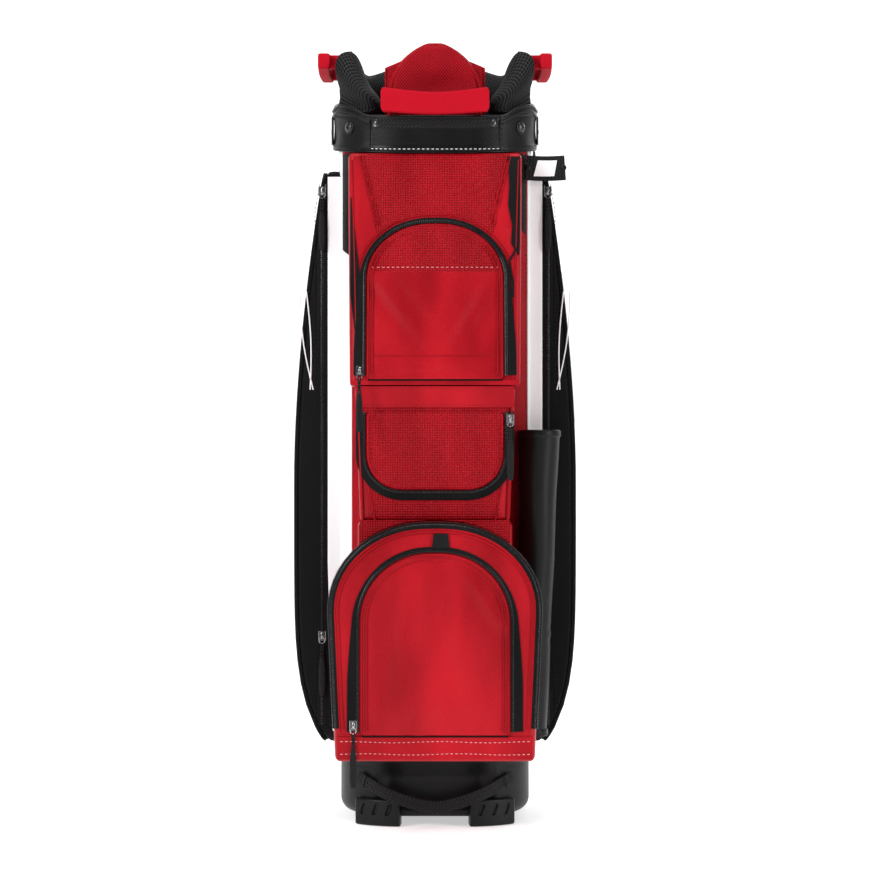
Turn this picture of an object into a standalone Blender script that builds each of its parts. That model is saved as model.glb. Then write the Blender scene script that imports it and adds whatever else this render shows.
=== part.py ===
"""A golf cart bag: a fabric body on a moulded base, with pockets, zips, lift handles and dividers.

Units are metres, +Z is up and the pockets face -Y. The origin is on the floor, under the middle
of the bag. The body is a rounded square tube, and a place on it is a number of facets counted
from the middle of the front, turning towards +X. A depth is a distance out from the bag's axis.
Fabric walls are plain shells of one thickness, and pieces that touch keep the same small gap.
"""

import math

import bpy
from mathutils import Matrix, Vector

# Clearances
GAP = 0.0003
CUT_PAST = 0.01
EDGE_GAP = 0.0015
FOOT_GAP = 0.001

# Tube that the body panels make
TUBE_HALF_WIDTH = 0.114
TUBE_HALF_DEPTH = 0.114
TUBE_CORNER = 0.080
TUBE_Y = 0.030
PANEL_THICK = 0.003
PANEL_BOTTOM = 0.075
CORNER_FACETS = 6
SIDE_SEAM_PLACE = 5.5
BACK_SEAM_PLACE = 11.0

# Collar and rim, whose edges rise towards the back
COLLAR_THICK = 0.006
COLLAR_LOW = 0.774
COLLAR_LOW_RISE = 0.15
COLLAR_HIGH = 0.815
COLLAR_HIGH_RISE = 0.21
COLLAR_EDGE_DROP = 0.002
RIM_INNER = 0.030
RIM_HANDLE_SETBACK = 0.012
RIM_HANDLE_PLACE = 2.0
RIM_HANDLE_RAMP = 0.28
RIM_FRONT_PLACE = 2.8
RIM_FRONT_TOP = 0.842
RIM_SIDE_TOP = 0.893
RIM_REAR_TOP = 0.905

# Lift handles
HANDLE_HALF_LENGTH = 0.062
HANDLE_BAR_THICK = 0.014
HANDLE_REACH = 0.023
HANDLE_LEG_WIDTH = 0.010
HANDLE_LEG_INSET = 0.008
HANDLE_HEIGHT = 0.028
HANDLE_BEVEL = 0.003
FRONT_HANDLE_BOTTOM = 0.8195
SIDE_HANDLE_BOTTOM = 0.874
REAR_HANDLE_BOTTOM = 0.885

# Mesh dome behind the front handle
DOME_HALF_WIDTH = 0.0555
DOME_THICK = 0.0235
DOME_BOTTOM = 0.790
DOME_SPRING = 0.845
DOME_TOP = 0.905

# Base
CUP_BOTTOM = 0.009
CUP_TOP = 0.100
CUP_WALL = 0.004
CUP_EDGE_ROUNDING = 0.016
CUP_RECESS = 0.014
CUP_RECESS_PLACE = 2.0
CUP_RECESS_FLAT = 1 / 3
FOOT_HEIGHT = 0.031
FOOT_REACH = 0.004
FOOT_DEPTH = 0.039
FOOT_FIRST_PLACE = 1.3
FOOT_LAST_PLACE = 4.0
FOOT_SLOTS = 3
FOOT_SLOT_SHARE = 0.62
FOOT_SLOT_LENGTH = 0.010
FOOT_SLOT_HEIGHT = 0.004
FOOT_SLOT_DEPTH = 0.003

# Webbing grab handle of the base
GRAB_HALF_LENGTH = 0.088
GRAB_WIDTH = 0.014
GRAB_THICK = 0.003
GRAB_END_TOP = 0.061
GRAB_SAG = 0.030
GRAB_REACH = 0.010
GRAB_STEPS = 18

# Club dividers, placed by shares of the tube's half depth and half width
DIVIDER_THICK = 0.002
DIVIDER_TOP_DROP = 0.020
CROSS_DIVIDER_SHARES = (-0.30, 0.12, 0.54)
OUTER_ROW_SHARES = (-0.29, 0.29)
INNER_ROW_SHARES = (-0.48, 0.0, 0.48)

# Pockets: widths go with the tube's, and a reach is a distance out from the tube's face
TUBE_FRONT = TUBE_HALF_DEPTH - TUBE_Y
WALL = 0.003
FLAP_THICK = 0.003
FLAP_LAP = 0.004
UPPER_BOTTOM = 0.5058
UPPER_TOP = 0.7735
UPPER_TOP_HEM = 0.009
UPPER_HALF_LOW = TUBE_HALF_WIDTH - 0.018
UPPER_HALF_HIGH = TUBE_HALF_WIDTH - 0.015
UPPER_REACH_LOW = 0.051
UPPER_REACH_HIGH = 0.0065
UPPER_FLAP_BOTTOM = 0.5125
UPPER_FLAP_HALF = UPPER_HALF_LOW - 0.019
UPPER_FLAP_TOP = 0.690
UPPER_FLAP_RISE = 0.062
MIDDLE_BOTTOM = 0.3520
MIDDLE_HALF = TUBE_HALF_WIDTH - 0.024
MIDDLE_REACH_LOW = 0.041
MIDDLE_FLAP_TOP = 0.476
MIDDLE_FLAP_BOTTOM = 0.389
MIDDLE_FLAP_HALF = MIDDLE_HALF - 0.013
MIDDLE_FLAP_RISE = 0.040
BALL_BOTTOM = 0.0855
BALL_TOP = 0.3510
BALL_REAR_HALF = TUBE_HALF_WIDTH - 0.026
BALL_REAR_REACH = 0.0355
BALL_HALF_LOW = TUBE_HALF_WIDTH - 0.003
BALL_HALF_HIGH = TUBE_HALF_WIDTH + 0.009
BALL_REACH_LOW = 0.090
BALL_REACH_HIGH = 0.080
BALL_RISE = 0.100
BALL_PANEL_BOTTOM = 0.1145
BALL_PANEL_TOP = 0.317
BALL_PANEL_HALF = BALL_HALF_LOW - 0.028
BALL_PANEL_RISE = 0.075
SIDE_Y = 0.040
SIDE_HALF = 0.070
SIDE_BOTTOM = 0.090
SIDE_TOP = 0.760
SIDE_WIDE_Z = 0.400
SIDE_REACH = 0.050
SIDE_FALL_HIGH = 0.0345
SIDE_FALL_LOW = 0.036
SIDE_FALL_HIGH_POWER = 1.74
SIDE_FALL_LOW_POWER = 6.0
SIDE_ROUNDING = 0.020
SIDE_FLAP_INSET = 0.0015

# Umbrella sleeve
SLEEVE_TURN = math.radians(36)
SLEEVE_TOP = 0.456
SLEEVE_BOTTOM = 0.102
SLEEVE_TOP_RADIUS = 0.028
SLEEVE_BOTTOM_RADIUS = 0.019
SLEEVE_WALL = 0.0025
SLEEVE_SINK = 0.001
SLEEVE_SIDES = 16

# Small parts on the right of the collar
STRAP_Y = -0.042
STRAP_STAND_OFF = 0.001
STRAP_LENGTH = 0.0455
STRAP_BOTTOM = 0.747
STRAP_HEIGHT = 0.029
STRAP_THICK = 0.003
RING_STAND_OFF = 0.0037
RING_Y = -0.018
RING_Z = 0.773
RING_RADIUS = 0.009
RING_WIRE = 0.0015

# Zip sliders and pulls
SLIDER_WIDTH = 0.009
SLIDER_HEIGHT = 0.012
SLIDER_THICK = 0.004
PULL_WIDTH = 0.008
PULL_THICK = 0.002
PULL_LENGTH = 0.070
UPPER_ZIP_Z = 0.522
MIDDLE_ZIP_Z = 0.468
BALL_ZIP_Z = 0.126
SIDE_ZIP_HIGH_Z = 0.735
SIDE_ZIP_LOW_Z = 0.215
SIDE_ZIP_REACH = 0.018
FRONT_ZIP_GAP = 0.0035

# Shoulder strap
SHOULDER_TOP = 0.740
SHOULDER_BOTTOM = 0.280
SHOULDER_HALF_WIDTH = 0.019
SHOULDER_THICK = 0.003
SHOULDER_STAND_OFF = 0.0105
SHOULDER_BOW = 0.011
SHOULDER_STEPS = 14
PAD_TOP = 0.620
PAD_BOTTOM = 0.400
PAD_HALF_WIDTH = 0.028
PAD_THICK = 0.010
ANCHOR_HALF_WIDTH = 0.012
ANCHOR_HEIGHT = 0.012

# Finishes, each a colour, a roughness and a metallic value
RED_FABRIC = ((0.58, 0.007, 0.016), 0.55, 0.0)
RED_PLASTIC = ((0.60, 0.010, 0.020), 0.35, 0.0)
RED_MESH = ((0.52, 0.010, 0.018), 0.70, 0.0)
BLACK_FABRIC = ((0.012, 0.012, 0.013), 0.55, 0.0)
BLACK_VINYL = ((0.016, 0.016, 0.017), 0.35, 0.0)
BLACK_MESH = ((0.010, 0.010, 0.010), 0.80, 0.0)
BLACK_PLASTIC = ((0.014, 0.014, 0.015), 0.40, 0.0)
BLACK_RUBBER = ((0.012, 0.012, 0.012), 0.60, 0.0)
BLACK_METAL = ((0.05, 0.05, 0.05), 0.35, 1.0)
WHITE_VINYL = ((0.80, 0.80, 0.80), 0.40, 0.0)
GREY_LINING = ((0.10, 0.10, 0.11), 0.85, 0.0)

# Places around the tube
QUADRANT = CORNER_FACETS + 2
ROUND = 4 * QUADRANT
FACET = 2 * TUBE_CORNER * math.sin(math.pi / 4 / CORNER_FACETS)
SEAM = GAP / 2 / FACET

# Directions that a piece can face, each as a turn about +Z
FRONT = 0.0
RIGHT = math.radians(90)
REAR = math.radians(180)
LEFT = math.radians(-90)


def clear_scene():
    """Empty the scene of the objects that a new file starts with."""
    for item in list(bpy.data.objects):
        bpy.data.objects.remove(item, do_unlink=True)


def finish_of(name, finish):
    """A material with one colour, roughness and metallic value."""
    colour, roughness, metallic = finish
    material = bpy.data.materials.new(name)
    material.use_nodes = True
    shader = material.node_tree.nodes["Principled BSDF"]
    shader.inputs["Base Color"].default_value = (*colour, 1.0)
    shader.inputs["Roughness"].default_value = roughness
    shader.inputs["Metallic"].default_value = metallic
    return material


def solid(name, points, faces, finish=None, facing=FRONT, centre=(0.0, 0.0), pivot=None):
    """An object from points and faces, turned to its facing, with its origin moved to the pivot."""
    mesh = bpy.data.meshes.new(name)
    mesh.from_pydata([tuple(point) for point in points], [], faces)
    item = bpy.data.objects.new(name, mesh)
    bpy.context.scene.collection.objects.link(item)
    item.rotation_euler.z = facing
    item.location = (centre[0], centre[1], 0.0)
    if finish is not None:
        mesh.materials.append(finish_of(name, finish))
    if pivot is not None:
        shift = item.matrix_basis.inverted() @ Vector(pivot)
        mesh.transform(Matrix.Translation(-shift))
        item.location = pivot
    return item


def cut(item, cutter):
    """Take the cutter's shape out of an item, and keep the cutter as a guide."""
    cutter.hide_render = True
    cutter.display_type = "WIRE"
    modifier = item.modifiers.new("cut by " + cutter.name, "BOOLEAN")
    modifier.operation = "DIFFERENCE"
    modifier.solver = "EXACT"
    modifier.object = cutter


def soften(item, width):
    """Round an item's sharp edges."""
    modifier = item.modifiers.new("rounded edges", "BEVEL")
    modifier.width = width
    modifier.segments = 2
    modifier.limit_method = "ANGLE"


def shade_round(item):
    """Shade an item's curved faces smooth."""
    item.data.shade_smooth()
    item.data.set_sharp_from_angle(angle=math.radians(35))


def section_solid(name, sections, **options):
    """A solid through sections of equal length, bottom to top, each turning left seen from above."""
    count = len(sections[0])
    points = [point for section in sections for point in section]
    faces = [list(reversed(range(count)))]
    for level in range(len(sections) - 1):
        first = level * count
        for side in range(count):
            following = (side + 1) % count
            low, low_next = first + side, first + following
            faces.append([low, low_next, low_next + count, low + count])
    faces.append([len(points) - count + side for side in range(count)])
    return solid(name, points, faces, **options)


def box_solid(name, low, high, **options):
    """A box between two corners."""
    sections = []
    for z in (low[2], high[2]):
        corners = [(low[0], low[1]), (high[0], low[1]), (high[0], high[1]), (low[0], high[1])]
        sections.append([(x, y, z) for x, y in corners])
    return section_solid(name, sections, **options)


def blend(start, stop, share):
    """A value that eases from start to stop as share goes from 0 to 1."""
    share = min(max(share, 0.0), 1.0)
    return start + (stop - start) * share * share * (3 - 2 * share)


def between(start, stop, share):
    """A value on a straight line from start to stop."""
    return start + (stop - start) * share


def facet_corner(index, offset):
    """A corner of the tube's outline, moved out by the offset."""
    quarter, step = divmod(index % ROUND, QUADRANT)
    flat_x = TUBE_HALF_WIDTH - TUBE_CORNER
    flat_y = TUBE_HALF_DEPTH - TUBE_CORNER
    if step == 0:
        middles = (
            (0.0, -TUBE_HALF_DEPTH - offset),
            (TUBE_HALF_WIDTH + offset, 0.0),
            (0.0, TUBE_HALF_DEPTH + offset),
            (-TUBE_HALF_WIDTH - offset, 0.0),
        )
        return Vector(middles[quarter])
    angle = math.radians(90) * (quarter - 1 + (step - 1) / CORNER_FACETS)
    side_x = (1, 1, -1, -1)[quarter]
    side_y = (-1, 1, 1, -1)[quarter]
    radius = TUBE_CORNER + offset
    corner = Vector((side_x * flat_x, side_y * flat_y))
    return corner + radius * Vector((math.cos(angle), math.sin(angle)))


def tube_point(place, offset):
    """The point at a place on the tube's outline, moved out by the offset."""
    index = math.floor(place)
    first = facet_corner(index, offset)
    second = facet_corner(index + 1, offset)
    point = first.lerp(second, place - index)
    return Vector((point.x, point.y + TUBE_Y))


def places_between(start, stop, extra=()):
    """The places of all facet corners from start to stop, with both ends and any extra places."""
    inside = [float(place) for place in range(math.ceil(start), math.floor(stop) + 1)]
    return sorted({start, stop, *inside, *[place for place in extra if start < place < stop]})


def tube_half_width(y, offset):
    """Half of the tube's width at a distance along Y, at an offset from its outline."""
    past_corner = abs(y - TUBE_Y) - (TUBE_HALF_DEPTH - TUBE_CORNER)
    radius = TUBE_CORNER + offset
    if past_corner <= 0:
        return TUBE_HALF_WIDTH + offset
    reach = math.sqrt(max(radius * radius - past_corner * past_corner, 0.0))
    return TUBE_HALF_WIDTH - TUBE_CORNER + reach


def collar_low(y):
    """Height of the collar's lower edge."""
    return COLLAR_LOW + COLLAR_LOW_RISE * (y - TUBE_Y + TUBE_HALF_DEPTH + COLLAR_THICK)


def collar_high(y):
    """Height of the collar's upper edge."""
    return COLLAR_HIGH + COLLAR_HIGH_RISE * (y - TUBE_Y + TUBE_HALF_DEPTH + COLLAR_THICK)


def wall_along(name, places, inner, outer, low, high, finish=None):
    """A wall that follows the tube: inner and outer are offsets and low and high are heights,
    each a function of the place and the point's Y. It closes on itself when it goes all round."""
    closed = places[-1] - places[0] == ROUND
    if closed:
        places = places[:-1]
    points = []
    for place in places:
        for offset, height in ((outer, low), (outer, high), (inner, high), (inner, low)):
            point = tube_point(place, offset(place))
            points.append((point.x, point.y, height(place, point.y)))
    count = len(places)
    faces = []
    for step in range(count if closed else count - 1):
        first = 4 * step
        second = 4 * ((step + 1) % count)
        for side in range(4):
            after = (side + 1) % 4
            faces.append([first + side, second + side, second + after, first + after])
    if not closed:
        last = 4 * (count - 1)
        faces.append([0, 1, 2, 3])
        faces.append([last + 3, last + 2, last + 1, last])
    return solid(name, points, faces, finish)


def constant(value):
    """A function that gives the same value everywhere."""
    return lambda *where: value


def tube_cutter(name, offset):
    """A solid copy of the tube, moved out by the offset, that pockets are cut with."""
    outline = [tube_point(place, offset) for place in range(ROUND)]
    sections = [[(point.x, point.y, z) for point in outline] for z in (0.0, 1.0)]
    return section_solid(name, sections)


def make_body():
    """The four body panels and the collar."""
    seams = (-SIDE_SEAM_PLACE, SIDE_SEAM_PLACE, BACK_SEAM_PLACE, ROUND - BACK_SEAM_PLACE)
    spans = {
        "front_body_panel": (seams[0], seams[1], RED_FABRIC),
        "right_body_panel": (seams[1], seams[2], WHITE_VINYL),
        "back_body_panel": (seams[2], seams[3], BLACK_FABRIC),
        "left_body_panel": (seams[3], ROUND + seams[0], WHITE_VINYL),
    }
    for name, (start, stop, finish) in spans.items():
        wall_along(
            name,
            places_between(start + SEAM, stop - SEAM),
            constant(-PANEL_THICK),
            constant(0.0),
            constant(PANEL_BOTTOM),
            lambda place, y: collar_high(y) - COLLAR_EDGE_DROP,
            finish,
        )
    wall_along(
        "collar",
        places_between(0.0, float(ROUND)),
        constant(GAP),
        constant(COLLAR_THICK),
        lambda place, y: collar_low(y),
        lambda place, y: collar_high(y),
        BLACK_VINYL,
    )


def rim_offset(place):
    """How far the rim pad reaches out: over the collar, but set back behind each handle."""
    from_middle = abs((place + QUADRANT / 2) % QUADRANT - QUADRANT / 2)
    if from_middle <= RIM_HANDLE_PLACE and QUADRANT / 2 < place < ROUND - QUADRANT / 2:
        return -RIM_HANDLE_SETBACK
    return COLLAR_THICK


def rim_height(place, y):
    """Height of the rim pad's upper edge, lowest beside the front handle."""
    turn = min(place, ROUND - place)
    side = blend(RIM_FRONT_TOP, RIM_SIDE_TOP, (turn - RIM_FRONT_PLACE) / (QUADRANT - 1 - RIM_FRONT_PLACE))
    rear = blend(0.0, RIM_REAR_TOP - RIM_SIDE_TOP, turn / (QUADRANT / 2) - 3)
    return side + rear


def make_rim():
    """The padded rim, open at the front, and the mesh dome that fills the opening."""
    handle_edges = []
    for middle in (QUADRANT, 2 * QUADRANT, 3 * QUADRANT):
        for side in (-1, 1):
            handle_edges.append(middle + side * RIM_HANDLE_PLACE)
            handle_edges.append(middle + side * (RIM_HANDLE_PLACE + RIM_HANDLE_RAMP))
    wall_along(
        "rim_pad",
        places_between(RIM_FRONT_PLACE, ROUND - RIM_FRONT_PLACE, handle_edges),
        constant(-RIM_INNER),
        rim_offset,
        lambda place, y: collar_high(y) + GAP,
        rim_height,
        BLACK_MESH,
    )
    front = TUBE_Y - TUBE_HALF_DEPTH + RIM_HANDLE_SETBACK
    outline = rows(DOME_HALF_WIDTH, DOME_HALF_WIDTH, DOME_BOTTOM, DOME_TOP, high_rise=DOME_TOP - DOME_SPRING)
    row_solid("front_mesh_dome", outline, constant(-front - DOME_THICK), constant(-front), finish=RED_MESH)


def make_handle(name, facing, bottom):
    """A lift handle: a bar that stands out from the rim on two legs, seen from above as a U."""
    tube_half = TUBE_HALF_WIDTH if facing in (RIGHT, LEFT) else TUBE_HALF_DEPTH
    outside = tube_half + HANDLE_REACH
    inside = outside - HANDLE_BAR_THICK
    foot = tube_half - RIM_HANDLE_SETBACK + GAP
    end = HANDLE_HALF_LENGTH
    leg_out = end - HANDLE_LEG_INSET
    leg_in = leg_out - HANDLE_LEG_WIDTH
    half = [(end, outside), (end, inside), (leg_out, inside), (leg_out, foot), (leg_in, foot), (leg_in, inside)]
    outline = [(-u, -v) for u, v in half]
    outline += [(u, -v) for u, v in reversed(half)]
    sections = [[(u, v, z) for u, v in outline] for z in (bottom, bottom + HANDLE_HEIGHT)]
    sections = [list(reversed(section)) for section in sections]
    item = section_solid(name, sections, finish=RED_PLASTIC, facing=facing, centre=(0.0, TUBE_Y))
    soften(item, HANDLE_BEVEL)
    shade_round(item)


def make_handles():
    """The four lift handles of the rim."""
    make_handle("front_lift_handle", FRONT, FRONT_HANDLE_BOTTOM)
    make_handle("right_lift_handle", RIGHT, SIDE_HANDLE_BOTTOM)
    make_handle("rear_lift_handle", REAR, REAR_HANDLE_BOTTOM)
    make_handle("left_lift_handle", LEFT, SIDE_HANDLE_BOTTOM)


def divider(name, low_x, high_x, low_y, high_y, top):
    """A thin upright divider, whose top follows a height function of Y."""
    corners = [(low_x, low_y), (high_x, low_y), (high_x, high_y), (low_x, high_y)]
    bottom = CUP_TOP + GAP
    sections = [[(x, y, bottom) for x, y in corners], [(x, y, top(y)) for x, y in corners]]
    section_solid(name, sections, finish=GREY_LINING)


def make_dividers():
    """Three cross dividers and the row dividers between them, which make fourteen wells."""
    half = DIVIDER_THICK / 2
    inner_front = TUBE_Y - TUBE_HALF_DEPTH + PANEL_THICK + GAP
    inner_rear = TUBE_Y + TUBE_HALF_DEPTH - PANEL_THICK - GAP
    cross_ys = [TUBE_Y + share * TUBE_HALF_DEPTH for share in CROSS_DIVIDER_SHARES]
    for number, y in enumerate(cross_ys, 1):
        reach = min(tube_half_width(edge, -PANEL_THICK) for edge in (y - half, y + half)) - EDGE_GAP
        divider(f"cross_divider_{number}", -reach, reach, y - half, y + half, divider_top)
    edges = [inner_front, *cross_ys, inner_rear]
    row_shares = [OUTER_ROW_SHARES, INNER_ROW_SHARES, INNER_ROW_SHARES, OUTER_ROW_SHARES]
    for row, shares in enumerate(row_shares, 1):
        start = edges[row - 1] + (half + GAP if row > 1 else 0.0)
        stop = edges[row] - (half + GAP if row < len(row_shares) else 0.0)
        top = constant(DOME_BOTTOM - GAP) if row == 1 else divider_top
        for number, share in enumerate(shares, 1):
            x = share * TUBE_HALF_WIDTH
            divider(f"row_{row}_divider_{number}", x - half, x + half, start, stop, top)


def divider_top(y):
    """Height of a divider's upper edge, a little below the collar's."""
    return collar_high(y) - DIVIDER_TOP_DROP


def cup_offset(place, z):
    """Offset of the cup's outer face: rounded in at the bottom and pushed in behind the grab handle."""
    outside = -PANEL_THICK - GAP
    from_bottom = min((z - CUP_BOTTOM) / CUP_EDGE_ROUNDING, 1.0)
    rounding = CUP_EDGE_ROUNDING * (1 - math.sqrt(1 - (1 - from_bottom) ** 2))
    turn = min(place % ROUND, ROUND - place % ROUND)
    across = blend(1.0, 0.0, turn - CUP_RECESS_PLACE)
    middle = (CUP_BOTTOM + PANEL_BOTTOM) / 2
    from_middle = 2 * abs(z - middle) / (PANEL_BOTTOM - CUP_BOTTOM)
    upright = blend(1.0, 0.0, (from_middle - CUP_RECESS_FLAT) / (1 - CUP_RECESS_FLAT))
    return outside - rounding - CUP_RECESS * across * upright


def cup_rings(grown, wall):
    """Rings of the cup's face from bottom to top, moved out by grown or in by wall."""
    rounded = [CUP_BOTTOM + CUP_EDGE_ROUNDING * share for share in (0.0, 0.15, 0.5, 1.0)]
    upright = [between(rounded[-1], PANEL_BOTTOM, share) for share in (0.35, 0.7, 1.0)]
    rings = []
    for z in [*rounded, *upright, CUP_TOP]:
        height = z - grown if z == CUP_BOTTOM else max(z, CUP_BOTTOM + wall)
        ring = [tube_point(place, cup_offset(place, z) + grown - wall) for place in range(ROUND)]
        rings.append([(point.x, point.y, height) for point in ring])
    return rings


def make_base():
    """The moulded cup and its four rubber feet."""
    outside = cup_rings(0.0, 0.0)
    inside = cup_rings(0.0, CUP_WALL)[1:]
    count = ROUND
    rings = outside + list(reversed(inside))
    points = [point for ring in rings for point in ring]
    faces = [list(reversed(range(count)))]
    for level in range(len(rings) - 1):
        first = level * count
        for side in range(count):
            after = (side + 1) % count
            faces.append([first + side, first + after, first + after + count, first + side + count])
    faces.append([len(points) - count + side for side in range(count)])
    cup = solid("base_cup", points, faces, BLACK_PLASTIC)
    shade_round(cup)
    cup_cutter = section_solid("cup_guide", cup_rings(FOOT_GAP, 0.0))
    feet = {
        "front_right_foot": (FOOT_FIRST_PLACE, FOOT_LAST_PLACE),
        "rear_right_foot": (ROUND / 2 - FOOT_LAST_PLACE, ROUND / 2 - FOOT_FIRST_PLACE),
        "rear_left_foot": (ROUND / 2 + FOOT_FIRST_PLACE, ROUND / 2 + FOOT_LAST_PLACE),
        "front_left_foot": (ROUND - FOOT_LAST_PLACE, ROUND - FOOT_FIRST_PLACE),
    }
    for name, (start, stop) in feet.items():
        foot = wall_along(
            name,
            places_between(start, stop),
            constant(FOOT_REACH - FOOT_DEPTH),
            constant(FOOT_REACH),
            constant(0.0),
            constant(FOOT_HEIGHT),
            BLACK_RUBBER,
        )
        cut(foot, cup_cutter)
        for number in range(FOOT_SLOTS):
            place = between(start, stop, (number + 0.5) / FOOT_SLOTS)
            cut(foot, foot_slot(f"{name}_slot_{number}", place))


def foot_slot(name, place):
    """A six-sided slot across a foot's outer face."""
    point = tube_point(place, FOOT_REACH)
    ahead = tube_point(place + 0.1, FOOT_REACH) - tube_point(place - 0.1, FOOT_REACH)
    along = ahead.normalized()
    outward = Vector((along.y, -along.x))
    half = FOOT_SLOT_LENGTH / 2
    rise = FOOT_SLOT_HEIGHT / 2
    middle = FOOT_HEIGHT * FOOT_SLOT_SHARE
    flat = half - rise
    profile = [(-half, 0.0), (-flat, -rise), (flat, -rise), (half, 0.0), (flat, rise), (-flat, rise)]
    points = []
    for depth in (-FOOT_SLOT_DEPTH, CUT_PAST):
        for u, v in profile:
            corner = point + along * u + outward * depth
            points.append((corner.x, corner.y, middle + v))
    faces = [[0, 1, 2, 3, 4, 5][::-1], [6, 7, 8, 9, 10, 11]]
    for side in range(6):
        after = (side + 1) % 6
        faces.append([side, after, after + 6, side + 6])
    return solid(name, points, faces)


def grab_pivot():
    """A point on the line through the two ends of the grab handle."""
    end_offset = -PANEL_THICK + GRAB_THICK
    return (0.0, -grab_depth(GRAB_HALF_LENGTH, end_offset), GRAB_END_TOP)


def grab_depth(x, offset):
    """Depth of the rounded front of the base at a distance from the middle."""
    past = max(abs(x) - (TUBE_HALF_WIDTH - TUBE_CORNER), 0.0)
    radius = TUBE_CORNER + offset
    return TUBE_HALF_DEPTH - TUBE_CORNER + math.sqrt(radius * radius - past * past) - TUBE_Y


def make_grab_handle():
    """The webbing handle that sags in front of the base, hung from its two ends."""
    sections = []
    for step in range(GRAB_STEPS + 1):
        share = between(-1.0, 1.0, step / GRAB_STEPS)
        x = GRAB_HALF_LENGTH * share
        offset = blend(GRAB_REACH, -PANEL_THICK + GRAB_THICK, 2 * abs(share) - 1)
        y = -grab_depth(x, offset)
        top = GRAB_END_TOP - GRAB_SAG * (1 - abs(share) ** 1.5)
        half = GRAB_THICK / 2
        bottom = top - GRAB_WIDTH
        sections.append([(x, y - half, bottom), (x, y - half, top), (x, y + half, top), (x, y + half, bottom)])
    item = section_solid("base_grab_handle", sections, finish=BLACK_FABRIC, pivot=grab_pivot())
    item.data.flip_normals()


def rows(half_low, half_high, bottom, top, low_round=0.0, low_rise=0.0, high_rise=0.0, high_round=None, middle=1):
    """An outline as pairs of a height and a half width, from bottom to top. Its lower and upper
    corners are quarter ellipses, given by how far they reach across and how far they rise."""
    if high_round is None:
        high_round = 0.93 * half_high
    steps = 6
    heights = []
    if low_rise > 0:
        for step in range(steps):
            angle = math.radians(90) * step / steps
            heights.append((bottom + low_rise * (1 - math.cos(angle)), low_round * (1 - math.sin(angle))))
    start = bottom + low_rise
    stop = top - high_rise
    for step in range(middle + 1):
        heights.append((between(start, stop, step / middle), 0.0))
    if high_rise > 0:
        for step in reversed(range(steps)):
            angle = math.radians(90) * step / steps
            heights.append((top - high_rise * (1 - math.cos(angle)), high_round * (1 - math.sin(angle))))
    outline = []
    for z, drawn_in in heights:
        share = (z - bottom) / (top - bottom)
        outline.append((z, between(half_low, half_high, share) - drawn_in))
    return outline


def row_solid(name, outline, back, face, **options):
    """A solid whose level sections are rectangles: an outline's half widths across, and from the
    back depth to the face depth, which are both functions of the height."""
    sections = []
    for z, half in outline:
        near, far = -back(z), -face(z)
        sections.append([(-half, far, z), (half, far, z), (half, near, z), (-half, near, z)])
    return section_solid(name, sections, **options)


def sloped(low_z, low_depth, high_z, high_depth):
    """A depth that changes evenly with height."""
    return lambda z: between(low_depth, high_depth, (z - low_z) / (high_z - low_z))


def moved(depth, amount):
    """A depth function with a fixed amount added."""
    return lambda z: depth(z) + amount


def make_pouch(name, body, hollow, opening, back, face, finish, tube=None, **options):
    """A pocket body: walls round a hollow, with an opening through its face. Without a back wall
    of its own it is cut to fit the tube."""
    item = row_solid(name, body, back, face, finish=finish, **options)
    place = {key: value for key, value in options.items() if key in ("facing", "centre")}
    hollow_back = moved(back, WALL) if tube is None else moved(back, -CUT_PAST)
    if tube is not None:
        cut(item, tube)
    cut(item, row_solid(name + "_hollow", hollow, hollow_back, moved(face, -WALL), **place))
    cut(item, row_solid(name + "_opening", opening, moved(face, -2 * WALL), moved(face, CUT_PAST), **place))
    return item


def make_flap(name, outline, face, finish, **options):
    """A flap that lies on a pocket's face."""
    return row_solid(name, outline, moved(face, GAP), moved(face, GAP + FLAP_THICK), finish=finish, **options)


UPPER_DEPTH_LOW = TUBE_FRONT + UPPER_REACH_LOW
UPPER_FACE = sloped(UPPER_BOTTOM, UPPER_DEPTH_LOW, UPPER_TOP, TUBE_FRONT + UPPER_REACH_HIGH)
MIDDLE_TOP = UPPER_BOTTOM - GAP
MIDDLE_FACE = sloped(MIDDLE_BOTTOM, TUBE_FRONT + MIDDLE_REACH_LOW, MIDDLE_TOP, UPPER_DEPTH_LOW)
BALL_REAR_DEPTH = TUBE_FRONT + BALL_REAR_REACH
BALL_FACE = sloped(BALL_BOTTOM, TUBE_FRONT + BALL_REACH_LOW, BALL_TOP, TUBE_FRONT + BALL_REACH_HIGH)
SIDE_DEPTH = TUBE_HALF_WIDTH + SIDE_REACH
BURIED = constant(TUBE_HALF_DEPTH - TUBE_Y - TUBE_CORNER)
FLAP_FRONT = GAP + FLAP_THICK


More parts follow.
